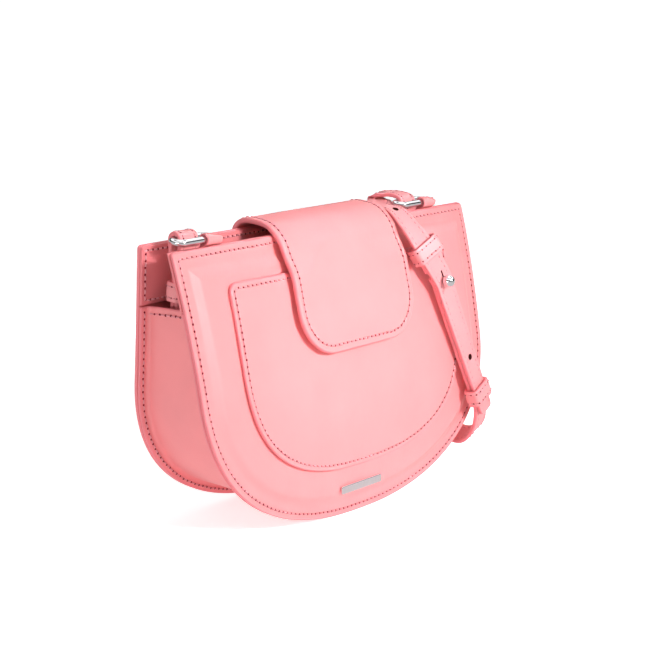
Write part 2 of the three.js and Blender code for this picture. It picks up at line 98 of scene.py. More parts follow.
STRAP_WIDTH, STRAP = 12.0, 2.0
LAYER = STRAP + GAP
HOLE_R = 1.6
KEEPER_LONG, KEEPER_WALL = 9.0, 1.3
STUD_HOLE_R = 2.1
BALL_R, NECK_R = 3.2, 1.25

# How far each seam runs inside its edge
SEAM_IN, POCKET_SEAM, FLAP_SEAM, FACING_SEAM = 3.0, 2.4, 3.4, 2.1
STITCH = 3.1  # pitch of the stitches
THREAD_R = 0.36

rng = np.random.default_rng(7)


# ---- Small helpers ----
def arr(points):
    return np.asarray(points, float)


def unit(v):
    v = arr(v)
    return v / np.maximum(np.linalg.norm(v, axis=-1, keepdims=True), 1e-12)


def smooth(t):
    t = np.clip(t, 0, 1)
    return t * t * (3 - 2 * t)


def lengths(points):
    steps = np.linalg.norm(np.diff(points, axis=0), axis=1)
    return np.concatenate([[0], np.cumsum(steps)])


def columns_at(at, s, rows):
    """Every column of `rows`, known at the lengths s, interpolated at others."""
    return np.stack([np.interp(at, s, column) for column in rows.T], 1)


def resample(points, count):
    """count points evenly spaced along a line of points."""
    s = lengths(points)
    return columns_at(np.linspace(0, s[-1], count), s, points)


def ripple(points, size, seed):
    """A smooth value between about -1 and 1 that wanders over `size` mm."""
    r = np.random.default_rng(seed)
    total = np.zeros(len(points))
    for _ in range(6):
        wave = r.normal(size=3) / size * 2.2
        total += np.sin(points @ wave + r.uniform(0, 6.3))
    return total / 3


# ---- From millimetres to the part's frame ----
back_low, back_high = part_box("back_panel")
SHIFT = arr([(back_low.x + back_high.x) / 2, back_high.y, back_low.z])


def place(points):
    return arr(points) / 1000 + SHIFT


def add(name, data):
    """Puts a new object into the scene."""
    obj = bpy.data.objects.new(name, data)
    bpy.context.scene.collection.objects.link(obj)
    return obj


def build(name, verts, faces, materials, body, replaces=(), face_material=None, rim=None):
    """One mesh piece. `rim` is 1 on painted edges and 0 on open leather."""
    mesh = bpy.data.meshes.new(name)
    mesh.from_pydata(place(verts).tolist(), [], [list(map(int, f)) for f in faces])
    for m in materials:
        mesh.materials.append(m)
    if face_material is not None:
        mesh.polygons.foreach_set("material_index", np.asarray(face_material, np.int32))
    if rim is not None:
        layer = mesh.attributes.new("rim", "FLOAT", "POINT")
        layer.data.foreach_set("value", np.asarray(rim, np.float32))
    mesh.validate()
    mesh.polygons.foreach_set("use_smooth", [True] * len(mesh.polygons))
    mesh.update()
    obj = add(name, mesh)
    if body:
        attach(obj, body)
    if replaces:
        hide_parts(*replaces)
    return obj


def outwards(verts, faces):
    """The same faces, turned so that the closed mesh faces out."""
    v = arr(verts)
    volume = 0.0
    for f in faces:
        a = v[f[0]]
        for i in range(1, len(f) - 1):
            volume += np.dot(a, np.cross(v[f[i]], v[f[i + 1]]))
    return faces if volume > 0 else [f[::-1] for f in faces]


def grid_faces(rows, cols, around=False, rows_closed=False):
    """Quads of a grid of points, row by row. `around` joins the last column to the first."""
    r_last = rows if rows_closed else rows - 1
    c_last = cols if around else cols - 1
    i, j = np.meshgrid(np.arange(r_last), np.arange(c_last), indexing="ij")
    i2, j2 = (i + 1) % rows, (j + 1) % cols
    quads = np.stack([i * cols + j, i * cols + j2, i2 * cols + j2, i2 * cols + j], -1)
    return quads.reshape(-1, 4).tolist()


# ---- Outlines ----
def round_bottom(half, waist, low, power, count=260):
    a = np.linspace(0, math.pi / 2, count)
    x = half * np.cos(a) ** (2 / power)
    z = waist - (waist - low) * np.sin(a) ** (2 / power)
    x[-1] = 0
    return np.stack([x, z], 1)


def u_line(top, half_at_top, half, waist, low, power):
    """From the right end of the top edge down, round the bottom and up to the left end."""
    z = np.linspace(top, waist, 60)[:-1]
    x = half + (half_at_top - half) * (z - waist) / (top - waist)
    right = np.concatenate([np.stack([x, z], 1), round_bottom(half, waist, low, power)])
    left = right[::-1][1:] * [-1, 1]
    return resample(np.concatenate([right, left]), 1200)


def offset(line, distance):
    """The line moved towards its inside, the side to the right of its direction."""
    t = unit(np.gradient(line, axis=0))
    return line + distance * np.stack([t[:, 1], -t[:, 0]], 1)


def body_half(z):
    return WAIST_HALF + (TOP_HALF - WAIST_HALF) * np.maximum(0, (z - WAIST_Z) / (HEIGHT - WAIST_Z))


def body_line(top):
    return u_line(top, float(body_half(top)), WAIST_HALF, WAIST_Z, 0, ROUND_POWER)


SIDE_POINTS, CORNER_POINTS, TOP_POINTS = 321, 9, 81


def bowl_loop(line, top, corner, inset):
    """A closed outline at a distance inside a U line with a straight top edge and two rounded corners."""
    high = top - inset
    r = max(corner - inset, 0.25)
    moved = offset(line, inset)
    below = moved[moved[:, 1] <= high - r]
    x = below[0, 0]
    start = arr([[x, high - r]])
    sides = resample(np.concatenate([start, below, start * [-1, 1]]), SIDE_POINTS)
    a = np.linspace(math.pi / 2, 0, CORNER_POINTS, endpoint=False)
    right = np.stack([x - r + r * np.cos(a), high - r + r * np.sin(a)], 1)
    left = right[::-1] * [-1, 1]
    across = np.linspace(-(x - r), x - r, TOP_POINTS + 1)[1:-1]
    edge = np.stack([across, np.full(len(across), high)], 1)
    return np.concatenate([right, sides, left, edge])


def rounded_rectangle(half, low, high, corner_low, corner_high, inset, side=121, corner=15, across=61):
    """A closed outline whose lower and upper corners have their own radii."""
    h, z0, z1 = half - inset, low + inset, high - inset
    r0, r1 = max(corner_low - inset, 0.2), max(corner_high - inset, 0.2)
    r0, r1 = min(r0, h), min(r1, h)

    def arc(cx, cz, r, a0, a1):
        a = np.radians(np.linspace(a0, a1, corner))
        return np.stack([cx + r * np.cos(a), cz + r * np.sin(a)], 1)

    def line(p, q, n):
        t = np.linspace(0, 1, n + 2)[1:-1, None]
        return arr(p) * (1 - t) + arr(q) * t

    parts = [
        arc(h - r1, z1 - r1, r1, 90, 0),
        line((h, z1 - r1), (h, z0 + r0), side),
        arc(h - r0, z0 + r0, r0, 0, -90),
        line((h - r0, z0), (-h + r0, z0), across),
        arc(-h + r0, z0 + r0, r0, 270, 180),
        line((-h, z0 + r0), (-h, z1 - r1), side),
        arc(-h + r1, z1 - r1, r1, 180, 90),
        line((-h + r1, z1), (h - r1, z1), across),
    ]
    return np.concatenate(parts)


# ---- Surfaces that carry sheets: (points on the outline, height outwards) to 3-D ----
def front_y(z):
    return -(TOP_DEPTH + SWELL * (1 - (np.maximum(z, 0) / HEIGHT) ** SWELL_POWER))


def on_front(points, height):
    x, z = points[:, 0], points[:, 1]
    return np.stack([x, front_y(z) - height, z], 1)


def on_back(points, height):
    x, z = points[:, 0], points[:, 1]
    return np.stack([x, 0 * x + height, z], 1)


def edge_profile(high, low, round_=EDGE_ROUND, reach=1.2):
    """(inset, height) pairs from a face at `high`, round the edge, to a face at `low`."""
    mid = []
    for a in np.radians([0, 20, 45, 70, 90]):
        mid.append((round_ - round_ * math.sin(a), high - round_ + round_ * math.cos(a)))
    back = [(d, low + high - h) for d, h in reversed(mid)]
    return [(reach, high)] + mid + back + [(reach, low)]


def groove(at, depth=0.2, half=0.75):
    """A shallow channel that a seam pulls into the face, in from the middle outwards."""
    steps = [(1, 0), (0.6, 0.35), (0.25, 0.85), (0, 1), (-0.25, 0.85), (-0.6, 0.35), (-1, 0)]
    return [(at + half * s, -depth * k) for s, k in steps]


def sheet(name, loop_at, profile, surface, materials, body, replaces=(), middle=12, centre=None,
          wander=0.0, seed=1, paired=False):
    """A sheet with two faces. profile: (inset, height) from the front face's middle to the back face's."""
    profile = [tuple(p) for p in profile]
    loops, heights, rims = [], [], []

    def inner(d, height, shares):
        base = loop_at(d)
        mid = arr(centre) if centre is not None else (base.max(0) + base.min(0)) / 2
        for s in shares:
            loops.append(mid + (base - mid) * s)
            heights.append(height)
            rims.append(0)

    shares = np.linspace(0, 1, middle + 1)[1:-1]
    inner(*profile[0], shares)
    for d, height in profile:
        loops.append(loop_at(d))
        heights.append(height)
        rims.append(1.0 if d < 0.5 else 0.0)
    inner(*profile[-1], shares[::-1])
    points = np.concatenate(loops)
    count = len(loops[0])
    height = np.repeat(heights, count)
    verts = surface(points, height)
    if wander:
        verts = verts + surface_push(surface, points, height) * (wander * ripple(verts, 26, seed))[:, None]
    faces = grid_faces(len(loops), count, around=True)
    total = len(verts)
    last = total - count
    rim = np.repeat(rims, count)
    if paired:
        # The innermost loop is long and narrow: its right and left points are joined straight across.
        above = points[:count, 1] >= points[:count, 1].mean()
        first = int(np.argmin(np.abs(points[:count, 0]) + np.where(above, 0, 1e3)))
        for i in range(count // 2):
            a, b = (first + i) % count, (first + i + 1) % count
            c, d = (first - i - 1) % count, (first - i) % count
            face = list(dict.fromkeys([a, d, c, b]))
            faces.append(face)
            faces.append([last + k for k in face[::-1]])
    else:
        mids = [surface(end.mean(0)[None], arr([h]))[0]
                for end, h in ((points[:count], heights[0]), (points[-count:], heights[-1]))]
        verts = np.concatenate([verts, mids])
        for i in range(count):
            j = (i + 1) % count
            faces.append([total, j, i])
            faces.append([total + 1, last + i, last + j])
        rim = np.concatenate([rim, [0, 0]])
    faces = outwards(verts, faces)
    return build(name, verts, faces, materials, body, replaces, rim=rim)


def surface_push(surface, points, height):
    return unit(surface(points, height + 0.1) - surface(points, height))


# ---- Seams ----
def stitch_template():
    """A short raised thread, ends dipping into the leather, and after it a small dark disc: the needle
    hole's painted shade.
    """
    xs = arr([-0.33, -0.25, -0.1, 0.1, 0.25, 0.33]) * STITCH
    lift = arr([-0.18, 0.14, 0.26, 0.26, 0.14, -0.18])
    radius = arr([0.6, 0.95, 1, 1, 0.95, 0.6]) * THREAD_R
    a = np.linspace(0, 2 * math.pi, 7)[:-1]
    rows = [np.stack([0 * a + x, h + r * np.cos(a), r * np.sin(a) * 1.15], 1)
            for x, h, r in zip(xs, lift, radius)]
    thread = np.concatenate(rows)
    thread_faces = grid_faces(len(xs), 6, around=True)
    a = np.linspace(0, 2 * math.pi, 9)[:-1]
    rings = [(1.0, -0.12), (0.85, 0.05), (0.45, 0.09)]
    hole = np.concatenate([
        np.stack([STITCH / 2 + 0.66 * k * np.cos(a), 0 * a + h, 0.6 * k * np.sin(a)], 1) for k, h in rings
    ])
    hole_faces = [[i + len(thread) for i in f] for f in grid_faces(3, 8, around=True)]
    hole_faces.append([len(thread) + 16 + i for i in range(8)])
    kinds = [0] * len(thread_faces) + [1] * len(hole_faces)
    return np.concatenate([thread, hole]), thread_faces + hole_faces, kinds


TEMPLATE = stitch_template()


def seam_parts(line, normals, size, sink):
    """Vertices, faces and kinds of the stitches along a 3-D line with its surface normals."""
    shape, faces, kinds = TEMPLATE
    s = lengths(line)
    count = max(1, int(round(s[-1] / STITCH)))
    at = (np.arange(count) + 0.5) * s[-1] / count
    p = columns_at(at, s, line)
    tangents = unit(np.gradient(line, axis=0))
    t = unit(columns_at(at, s, tangents))
    n = columns_at(at, s, normals)
    n = unit(n - t * np.sum(n * t, 1, keepdims=True))
    b = np.cross(t, n)
    slant = rng.normal(0, 0.05, count)[:, None]
    t2 = unit(t + b * slant)
    b2 = np.cross(t2, n)
    grow = size * (1 + rng.normal(0, 0.04, count))[:, None, None]
    local = shape[None] * grow
    stretch = (s[-1] / count) / STITCH
    verts = (p[:, None] - n[:, None] * sink + t2[:, None] * local[..., :1] * stretch
             + n[:, None] * local[..., 1:2] + b2[:, None] * local[..., 2:])
    base = np.arange(count) * len(shape)
    all_faces = [[i + k for i in f] for k in base for f in faces]
    return verts.reshape(-1, 3), all_faces, kinds * count


def seam(name, lines, body, sink=0.0, size=1.0):
    """One piece with every stitch of the given (line, normals) pairs."""
    verts, faces, kinds = [], [], []
    total = 0
    for line, normals in lines:
        v, f, k = seam_parts(line, normals, size, sink)
        verts.append(v)
        faces += [[i + total for i in face] for face in f]
        kinds += k
        total += len(v)
    return build(name, np.concatenate(verts), faces, [THREAD, NEEDLE_HOLE_SHADE], body,
                 face_material=kinds)


def seam_line(surface, points, height, side=1):
    """A seam on a carrying surface, on its outer (side 1) or inner (side -1) face."""
    h = np.full(len(points), float(height))
    return surface(points, h), side * surface_push(surface, points, h)


# ---- Materials ----
def nodes_of(name):
    m = bpy.data.materials.new(name)
    m.use_nodes = True
    tree = m.node_tree
    tree.nodes.clear()
    out = tree.nodes.new("ShaderNodeOutputMaterial")
    shader = tree.nodes.new("ShaderNodeBsdfPrincipled")
    tree.links.new(shader.outputs[0], out.inputs[0])
    coords = tree.nodes.new("ShaderNodeTexCoord")
    scale = tree.nodes.new("ShaderNodeVectorMath")
    scale.operation = "SCALE"
    scale.inputs["Scale"].default_value = 1000  # texture sizes in millimetres
    tree.links.new(coords.outputs["Object"], scale.inputs[0])
    return m, tree, shader, scale.outputs[0]


def texture(tree, kind, where, scale, detail=2.0, **settings):
    node = tree.nodes.new("ShaderNodeTex" + kind)
    for key, value in settings.items():
        setattr(node, key, value)
    node.inputs["Scale"].default_value = scale
    if "Detail" in node.inputs:
        node.inputs["Detail"].default_value = detail
    tree.links.new(where, node.inputs["Vector"])
    return node


def pair(tree, operation, a, b):
    node = tree.nodes.new("ShaderNodeMath")
    node.operation = operation
    tree.links.new(a, node.inputs[0])
    tree.links.new(b, node.inputs[1])
    return node.outputs[0]


def ramp(tree, value, low, high, to_low, to_high):
    """Maps low...high of a value onto to_low...to_high."""
    node = tree.nodes.new("ShaderNodeMapRange")
    for end, number in (("From Min", low), ("From Max", high), ("To Min", to_low), ("To Max", to_high)):
        node.inputs[end].default_value = number
    tree.links.new(value, node.inputs["Value"])
    return node.outputs[0]


def mix(tree, factor, a, b, kind="MIX"):
    node = tree.nodes.new("ShaderNodeMix")
    node.data_type = "RGBA"
    node.blend_type = kind
    for socket, value in ((node.inputs[0], factor), (node.inputs[6], a), (node.inputs[7], b)):
        if hasattr(value, "is_output"):
            tree.links.new(value, socket)
        elif isinstance(value, (int, float)):
            socket.default_value = value
        else:
            socket.default_value = (*value, 1)
    return node.outputs[2]


def bump(tree, height, strength, distance, before=None):
    node = tree.nodes.new("ShaderNodeBump")
    node.inputs["Strength"].default_value = strength
    node.inputs["Distance"].default_value = distance
    tree.links.new(height, node.inputs["Height"])
    if before is not None:
        tree.links.new(before, node.inputs["Normal"])
    return node.outputs[0]


def leather(name, color, rim_color, roughness=0.42, grain=0.35):
    """Smooth dyed leather: faint mottling, fine pores, painted edges."""
    m, tree, shader, where = nodes_of(name)
    link = tree.links.new
    mottle = texture(tree, "Noise", where, 0.035, 3)
    pores = texture(tree, "Voronoi", where, 1.5, feature="F1")
    fine = texture(tree, "Noise", where, 2.6, 4)
    soft = texture(tree, "Noise", where, 0.16, 2)
    shade = ramp(tree, mottle.outputs["Fac"], 0.3, 0.7, 0.955, 1.03)
    deep = ramp(tree, pores.outputs["Distance"], 0.0, 0.5, 0.965, 1.0)
    toned = mix(tree, 1.0, color, pair(tree, "MULTIPLY", shade, deep), "MULTIPLY")
    rim = tree.nodes.new("ShaderNodeAttribute")
    rim.attribute_name = "rim"
    painted = mix(tree, rim.outputs["Fac"], toned, rim_color)
    link(painted, shader.inputs["Base Color"])
    satin = ramp(tree, fine.outputs["Fac"], 0.3, 0.7, roughness - 0.05, roughness + 0.07)
    link(satin, shader.inputs["Roughness"])
    for finish, amount in (("Coat Weight", 0.12), ("Coat Roughness", 0.45), ("Sheen Weight", 0.08),
                           ("Sheen Roughness", 0.4)):
        shader.inputs[finish].default_value = amount
    normal = bump(tree, soft.outputs["Fac"], 0.35, 0.00035)
    normal = bump(tree, pores.outputs["Distance"], grain, 0.00005, normal)
    normal = bump(tree, fine.outputs["Fac"], grain, 0.00004, normal)
    link(normal, shader.inputs["Normal"])
    return m


def woven(name, color):
    """Lining cloth: two crossing sets of yarns."""
    m, tree, shader, where = nodes_of(name)
    link = tree.links.new
    turned = tree.nodes.new("ShaderNodeMapping")
    turned.inputs["Rotation"].default_value = (0, math.radians(45), 0)
    link(where, turned.inputs[0])
    warp = texture(tree, "Wave", turned.outputs[0], 0.9, 1, wave_type="BANDS", bands_direction="X")
    weft = texture(tree, "Wave", turned.outputs[0], 0.9, 1, wave_type="BANDS", bands_direction="Z")
    weave = pair(tree, "MAXIMUM", warp.outputs["Fac"], weft.outputs["Fac"])
    cloud = texture(tree, "Noise", where, 0.05, 3)
    tone = mix(tree, cloud.outputs["Fac"], [c * 0.8 for c in color], [c * 1.25 for c in color])
    tone = mix(tree, ramp(tree, weave, 0, 1, 0.3, 0.0), tone, (0.02, 0.004, 0.006))
    link(tone, shader.inputs["Base Color"])
    shader.inputs["Roughness"].default_value = 0.85
    shader.inputs["Sheen Weight"].default_value = 0.3
    link(bump(tree, weave, 0.6, 0.0002), shader.inputs["Normal"])
    return m


def twisted(name, color, dark):
    """Sewing thread: two plies wound round each other."""
    m, tree, shader, where = nodes_of(name)
    wave = texture(tree, "Wave", where, 1.4, 1, wave_type="BANDS", bands_direction="DIAGONAL")
    fuzz = texture(tree, "Noise", where, 4.0, 3)
    tone = mix(tree, ramp(tree, wave.outputs["Fac"], 0, 1, 0, 0.5), color, dark)
    tone = mix(tree, ramp(tree, fuzz.outputs["Fac"], 0.3, 0.7, 0, 0.2), tone, dark)
    tree.links.new(tone, shader.inputs["Base Color"])
    shader.inputs["Roughness"].default_value = 0.55
    tree.links.new(bump(tree, wave.outputs["Fac"], 0.5, 0.0001), shader.inputs["Normal"])
    return m


def hole_shade_colour(name, color):
    """Painted shade for the inside of a hole: a dark, faintly speckled colour."""
    m, tree, shader, where = nodes_of(name)
    speck = texture(tree, "Noise", where, 3.0, 2)
    tone = mix(tree, speck.outputs["Fac"], color, [c * 0.6 for c in color])
    tree.links.new(tone, shader.inputs["Base Color"])
    shader.inputs["Roughness"].default_value = 0.8
    shader.inputs["Specular IOR Level"].default_value = 0.2
    return m


def polished(name):
    """Plated metal, faintly hazed."""
    m, tree, shader, where = nodes_of(name)
    link = tree.links.new
    haze = texture(tree, "Noise", where, 0.5, 5)
    hair = texture(tree, "Noise", where, 5.0, 2)
    shader.inputs["Metallic"].default_value = 1.0
    link(mix(tree, haze.outputs["Fac"], (0.86, 0.86, 0.88), (0.78, 0.78, 0.8)), shader.inputs["Base Color"])
    link(ramp(tree, haze.outputs["Fac"], 0.3, 0.7, 0.05, 0.14), shader.inputs["Roughness"])
    link(bump(tree, hair.outputs["Fac"], 0.1, 0.00002), shader.inputs["Normal"])
    return m


PINK = (0.95, 0.29, 0.30)
RIM_PINK = (0.90, 0.24, 0.27)
SKIN = leather("pink_leather", PINK, RIM_PINK)
STRAP_SKIN = leather("strap_leather", (0.91, 0.32, 0.335), (0.88, 0.23, 0.26), 0.46, 0.5)
# The facings are the same pink leather as the panels, coloured darker: painted shade for the inside of the
# mouth, where they sit.
SHADED_FACING_SKIN = leather("facing_leather", (0.84, 0.23, 0.245), (0.82, 0.2, 0.22), 0.5)
FABRIC = woven("maroon_fabric", (0.13, 0.018, 0.026))
THREAD = twisted("pink_thread", (0.86, 0.38, 0.41), (0.68, 0.2, 0.24))
# Needle holes and punched holes get near-black colours: painted shade inside the holes.
NEEDLE_HOLE_SHADE = hole_shade_colour("needle_hole_painted_shade", (0.26, 0.02, 0.035))
PUNCHED_HOLE_SHADE = hole_shade_colour("punched_hole_painted_shade", (0.10, 0.018, 0.018))
METAL = polished("polished_metal")

# ---- Back ----
BODY_LINE = body_line(HEIGHT)


def panel_loop(inset):
    return bowl_loop(BODY_LINE, HEIGHT, PANEL_CORNER, inset)


plain_edge = edge_profile(0, -LEATHER)
back_profile = groove(SEAM_IN) + plain_edge
sheet("back_leather", panel_loop, back_profile, on_back, [SKIN], "body",
      ("back_panel", "back_board"), wander=0.12)


def band_loop(low, high):
    """Outline of a facing: the body's sides cut off straight above `low`."""

    def at(inset):
        z = np.linspace(high - 0.25 - inset, low + inset, 40)
        x = body_half(z) - inset
        right = np.stack([x, z], 1)
        left = right[::-1] * [-1, 1]
        foot = np.linspace(1, -1, 62)[1:-1]
        lower = np.stack([foot * x[-1], np.full(60, low + inset)], 1)
        upper = np.stack([-foot * x[0], np.full(60, high - 0.25 - inset)], 1)
        return np.concatenate([right, lower, left, upper])

    return at


facing_profile = edge_profile(-INNER, -INNER - FLANGE, 0.4)
# The facings wear the darker copy of the pink leather, which is painted shade.
sheet("back_facing_leather", band_loop(FACING_LOW, HEIGHT), facing_profile, on_back, [SHADED_FACING_SKIN], "body",
      ("back_facing",), centre=(0, 120.5), wander=0.1, seed=3)

# ---- Front ----


def plateau(d):
    return PLATEAU * smooth((d - 6.8) / 5.4)


plateau_rings = [(d, plateau(d)) for d in (14, 12.4, 11.6, 10.8, 10, 9.2, 8.4, 7.6, 6.8, 5.4)]
hollow_rings = [(d, plateau(d) - LEATHER) for d in (2.4, 6.8, 8.4, 10, 11.6, 13)]
front_profile = plateau_rings + groove(SEAM_IN) + plain_edge + hollow_rings
sheet("front_leather", panel_loop, front_profile, on_front, [SKIN], "body",
      ("front_panel", "front_padding"), middle=20, centre=(0, 70), wander=0.1, seed=5)
sheet("front_facing_leather", band_loop(FRONT_FACING_LOW, HEIGHT), facing_profile, on_front, [SHADED_FACING_SKIN],
      "body", ("front_facing",), centre=(0, 121.5), wander=0.1, seed=6)

POCKET_LINE = u_line(POCKET_TOP, POCKET_HALF, POCKET_HALF, POCKET_WAIST, POCKET_LOW, POCKET_POWER)


def pocket_loop(inset):
    return bowl_loop(POCKET_LINE, POCKET_TOP, POCKET_CORNER, inset)


pocket_edge = edge_profile(POCKET_PROUD, PLATEAU + GAP, 0.6)
pocket_profile = [(d, POCKET_PROUD + h) for d, h in groove(POCKET_SEAM, 0.22)] + pocket_edge
sheet("pocket_leather", pocket_loop, pocket_profile, on_front, [SKIN], "body", ("front_pocket",),
      middle=16, centre=(0, 75), wander=0.12, seed=8)

# ---- Lining inside ----
lining_inset = WEB_INSET + FLANGE + 2 * GAP
LOW_LINE = body_line(FACING_LOW - GAP)


def lining_loop(inset):
    return bowl_loop(LOW_LINE, FACING_LOW - GAP, 0.5, inset + lining_inset)


deep = INNER + BOARD + GAP
sheet("back_fabric", lining_loop, edge_profile(-deep, -deep - LINING, 0.2), on_back, [FABRIC], "body",
      ("back_lining",), wander=0.12, seed=11)
deep = INNER + FLANGE
sheet("front_fabric", lining_loop, edge_profile(-deep, -deep - LINING, 0.2), on_front, [FABRIC], "body",
      ("front_lining",), wander=0.12, seed=12)

# ---- Gusset ----
U_ROWS = 361


def u_rows(inset, top):
    return resample(offset(body_line(top), inset), U_ROWS)


def u_sweep(name, section, top, materials, replaces, sag, rim_of=None):
    """Sweeps a closed ring of (inset, share, mm) round the bag, `sag` mm hollow between its rims.

    A point lies mm inside the back's rim at share 0 and mm inside the front's at share 1.
    """
    columns = []
    for inset, share, mm in section:
        line = u_rows(inset, top)
        x, z = line[:, 0], line[:, 1]
        back = 0 * z - INNER
        front = front_y(z) + INNER
        y = (back - mm) * (1 - share) + (front + mm) * share
        rise = GUSSET_RISE * share * smooth(1 - (top - z) / 24)
        z = z + rise
        y = np.where(share > 0.5, y + (front_y(z) - front_y(z - rise)) * share, y)
        columns.append(np.stack([x, y, z], 1))
    verts = np.stack(columns, 1)
    rows, cols = verts.shape[:2]
    share = arr([s for _, s, _ in section])
    weight = np.sin(np.pi * share) ** 2
    t = np.linspace(0, 1, rows)
    centre = verts[:, :1] * 0 + arr([0, 0, 70.0])
    inward = unit((centre - verts) * [1, 0, 1])
    near_top = 0.35 + 0.65 * smooth(1 - np.minimum(t, 1 - t) * 7)
    verts = verts + inward * (sag * weight[None, :, None] * near_top[:, None, None])
    wave = ripple(verts.reshape(-1, 3), 30, 21).reshape(rows, cols, 1)
    verts = verts + inward * wave * 0.35 * weight[None, :, None]
    faces = grid_faces(rows, cols, around=True)
    flat = verts.reshape(-1, 3)
    faces.append(list(range(cols))[::-1])
    faces.append(list(range((rows - 1) * cols, rows * cols)))
    faces = outwards(flat, faces)
    rim = None
    if rim_of is not None:
        rim = np.tile([1.0 if d < rim_of else 0.0 for d, _, _ in section], (rows, 1))
        rim[[0, -1]] = 1
        rim = rim.ravel()
    return build(name, flat, faces, materials, "body", replaces, rim=rim)


def gusset_section(thick=FLANGE, fold=1.9):
    """Flange, fold, web, fold, flange: outer side first, then back along the inner side."""
    outer, inner_side = [], []
    a = np.radians(np.linspace(0, 90, 8))
    web = WEB_INSET
    small, big = fold, fold + thick
    for share in (0, 1):
        flange = [(0.0, share, thick - 0.35), (0.35, share, thick), (2.0, share, thick)]
        turn = [(web - small + small * math.sin(k), share, thick + small - small * math.cos(k)) for k in a]
        outer.append(flange + turn)
        turn_in = [(web + thick - big + big * math.sin(k), share, big - big * math.cos(k)) for k in a]
        inner_side.append([(0.0, share, 0.35), (0.35, share, 0.0), (2.0, share, 0.0)] + turn_in)
    shares = np.linspace(0, 1, 13)[1:-1]
    depth_out, depth_in = thick + small, big
    web_out = [(web, s, depth_out * abs(1 - 2 * s)) for s in shares]
    web_in = [(web + thick, s, depth_in * abs(1 - 2 * s)) for s in shares]
    ring = outer[0] + web_out + outer[1][::-1]
    ring += inner_side[1] + web_in[::-1] + inner_side[0][::-1]
    return ring


u_sweep("gusset_leather", gusset_section(), GUSSET_TOP, [SKIN], ("gusset", "base_board"), sag=0.9,
        rim_of=0.5)
lining_in = WEB_INSET + FLANGE + 2 * GAP + BOARD
lining_section = []
for inset, shares in ((lining_in, np.linspace(0, 1, 9)), (lining_in + LINING, np.linspace(1, 0, 9))):
    for share in shares:
        clear = 4.6 - INNER if share in (0, 1) else 2.5 * abs(1 - 2 * share)
        lining_section.append((inset, share, clear))
u_sweep("gusset_fabric", lining_section, GUSSET_TOP - 3, [FABRIC], ("gusset_lining",), sag=0.9)

# ---- Flap ----


def catmull(points, count_per_span):
    """Centripetal Catmull-Rom curve through the points."""
    p = arr(points)
    ends = np.concatenate([[2 * p[0] - p[1]], p, [2 * p[-1] - p[-2]]])
    out = []
    for i in range(len(p) - 1):
        p0, p1, p2, p3 = ends[i : i + 4]
        pairs = ((p0, p1), (p1, p2), (p2, p3))
        d0, d1, d2 = (max(float(((b - a) ** 2).sum()) ** 0.25, 1e-4) for a, b in pairs)
        t1 = (p1 - p0) / d0 - (p2 - p0) / (d0 + d1) + (p2 - p1) / d1
        t2 = (p2 - p1) / d1 - (p3 - p1) / (d1 + d2) + (p3 - p2) / d2
        t1, t2 = t1 * d1, t2 * d1
        t = (np.arange(count_per_span) / count_per_span)[:, None]
        c2, c3 = -3 * p1 + 3 * p2 - 2 * t1 - t2, 2 * p1 - 2 * p2 + t1 + t2
        out.append(p1 + t1 * t + c2 * t**2 + c3 * t**3)
    return np.concatenate(out + [p[-1:]])


# (y, z) of the flap's inner face, from its sewn root over the mouth and down the front
flap_knots = [(GAP, ROOT_LOW), (GAP, 108), (GAP, 120), (0.5, HINGE_Z + 0.9), (0.7, 133.4)]
flap_knots += [(-2.8, 136.6), (-10.5, 137.4), (-18, 136.3), (-24.6, 131.3), (-28.8, 124.5)]
flap_knots += [(front_y(z) - FLAP_PROUD - GAP, z) for z in (117, 108, 99, 90, 83, FLAP_LOW)]
FLAP_CURVE = resample(catmull(flap_knots, 30), 700)
FLAP_S = lengths(FLAP_CURVE)
FLAP_LENGTH = FLAP_S[-1]
flap_run = unit(np.gradient(FLAP_CURVE, axis=0))
FLAP_OUT = np.stack([flap_run[:, 1], -flap_run[:, 0]], 1)


def on_flap(points, height):
    """points: (x, distance up from the flap's lower front edge)."""
    s = FLAP_LENGTH - points[:, 1]
    y = np.interp(s, FLAP_S, FLAP_CURVE[:, 0])
    z = np.interp(s, FLAP_S, FLAP_CURVE[:, 1])
    oy = np.interp(s, FLAP_S, FLAP_OUT[:, 0])
    oz = np.interp(s, FLAP_S, FLAP_OUT[:, 1])
    return np.stack([points[:, 0], y + oy * height, z + oz * height], 1)


def flap_loop(inset):
    return rounded_rectangle(FLAP_HALF, 0, FLAP_LENGTH, FLAP_CORNER, 2.5, inset, side=150)


flap_edge = edge_profile(FLAP_THICK, 0, 1.0)
flap_rings = (43, 41.5, *range(40, 4, -2))
flap_face = [(d, FLAP_THICK) for d in flap_rings] + [(5, FLAP_THICK)]
flap_face += [(d, FLAP_THICK + h) for d, h in groove(FLAP_SEAM, 0.25)]
flap_under = [(d, 0) for d in (3, *flap_rings[::-1])]


def bend_flap(obj):
    """Bakes the piece's placement into its mesh."""
    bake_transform(obj)


flap = sheet("flap_leather", flap_loop, flap_face + flap_edge + flap_under, on_flap, [SKIN], None,
             ("flap_root", "flap_outer", "flap_lining"), middle=1, wander=0.08, seed=15, paired=True)
bend_flap(flap)

# ---- Seams on the body and the flap ----


def closed_line(loop):
    return np.concatenate([loop, loop[:1]])


panel_seam = closed_line(panel_loop(SEAM_IN))
groove_sink = 0.12
seam("front_thread", [seam_line(on_front, panel_seam, 0)], "body", groove_sink)
seam("back_thread", [seam_line(on_back, panel_seam, 0)], "body", groove_sink)
pocket_seam = closed_line(pocket_loop(POCKET_SEAM))
seam("pocket_thread", [seam_line(on_front, pocket_seam, POCKET_PROUD)], "body", groove_sink)
flap_seam = closed_line(flap_loop(FLAP_SEAM))
flap_thread = seam("flap_thread", [seam_line(on_flap, flap_seam, FLAP_THICK)], None, groove_sink)
bend_flap(flap_thread)

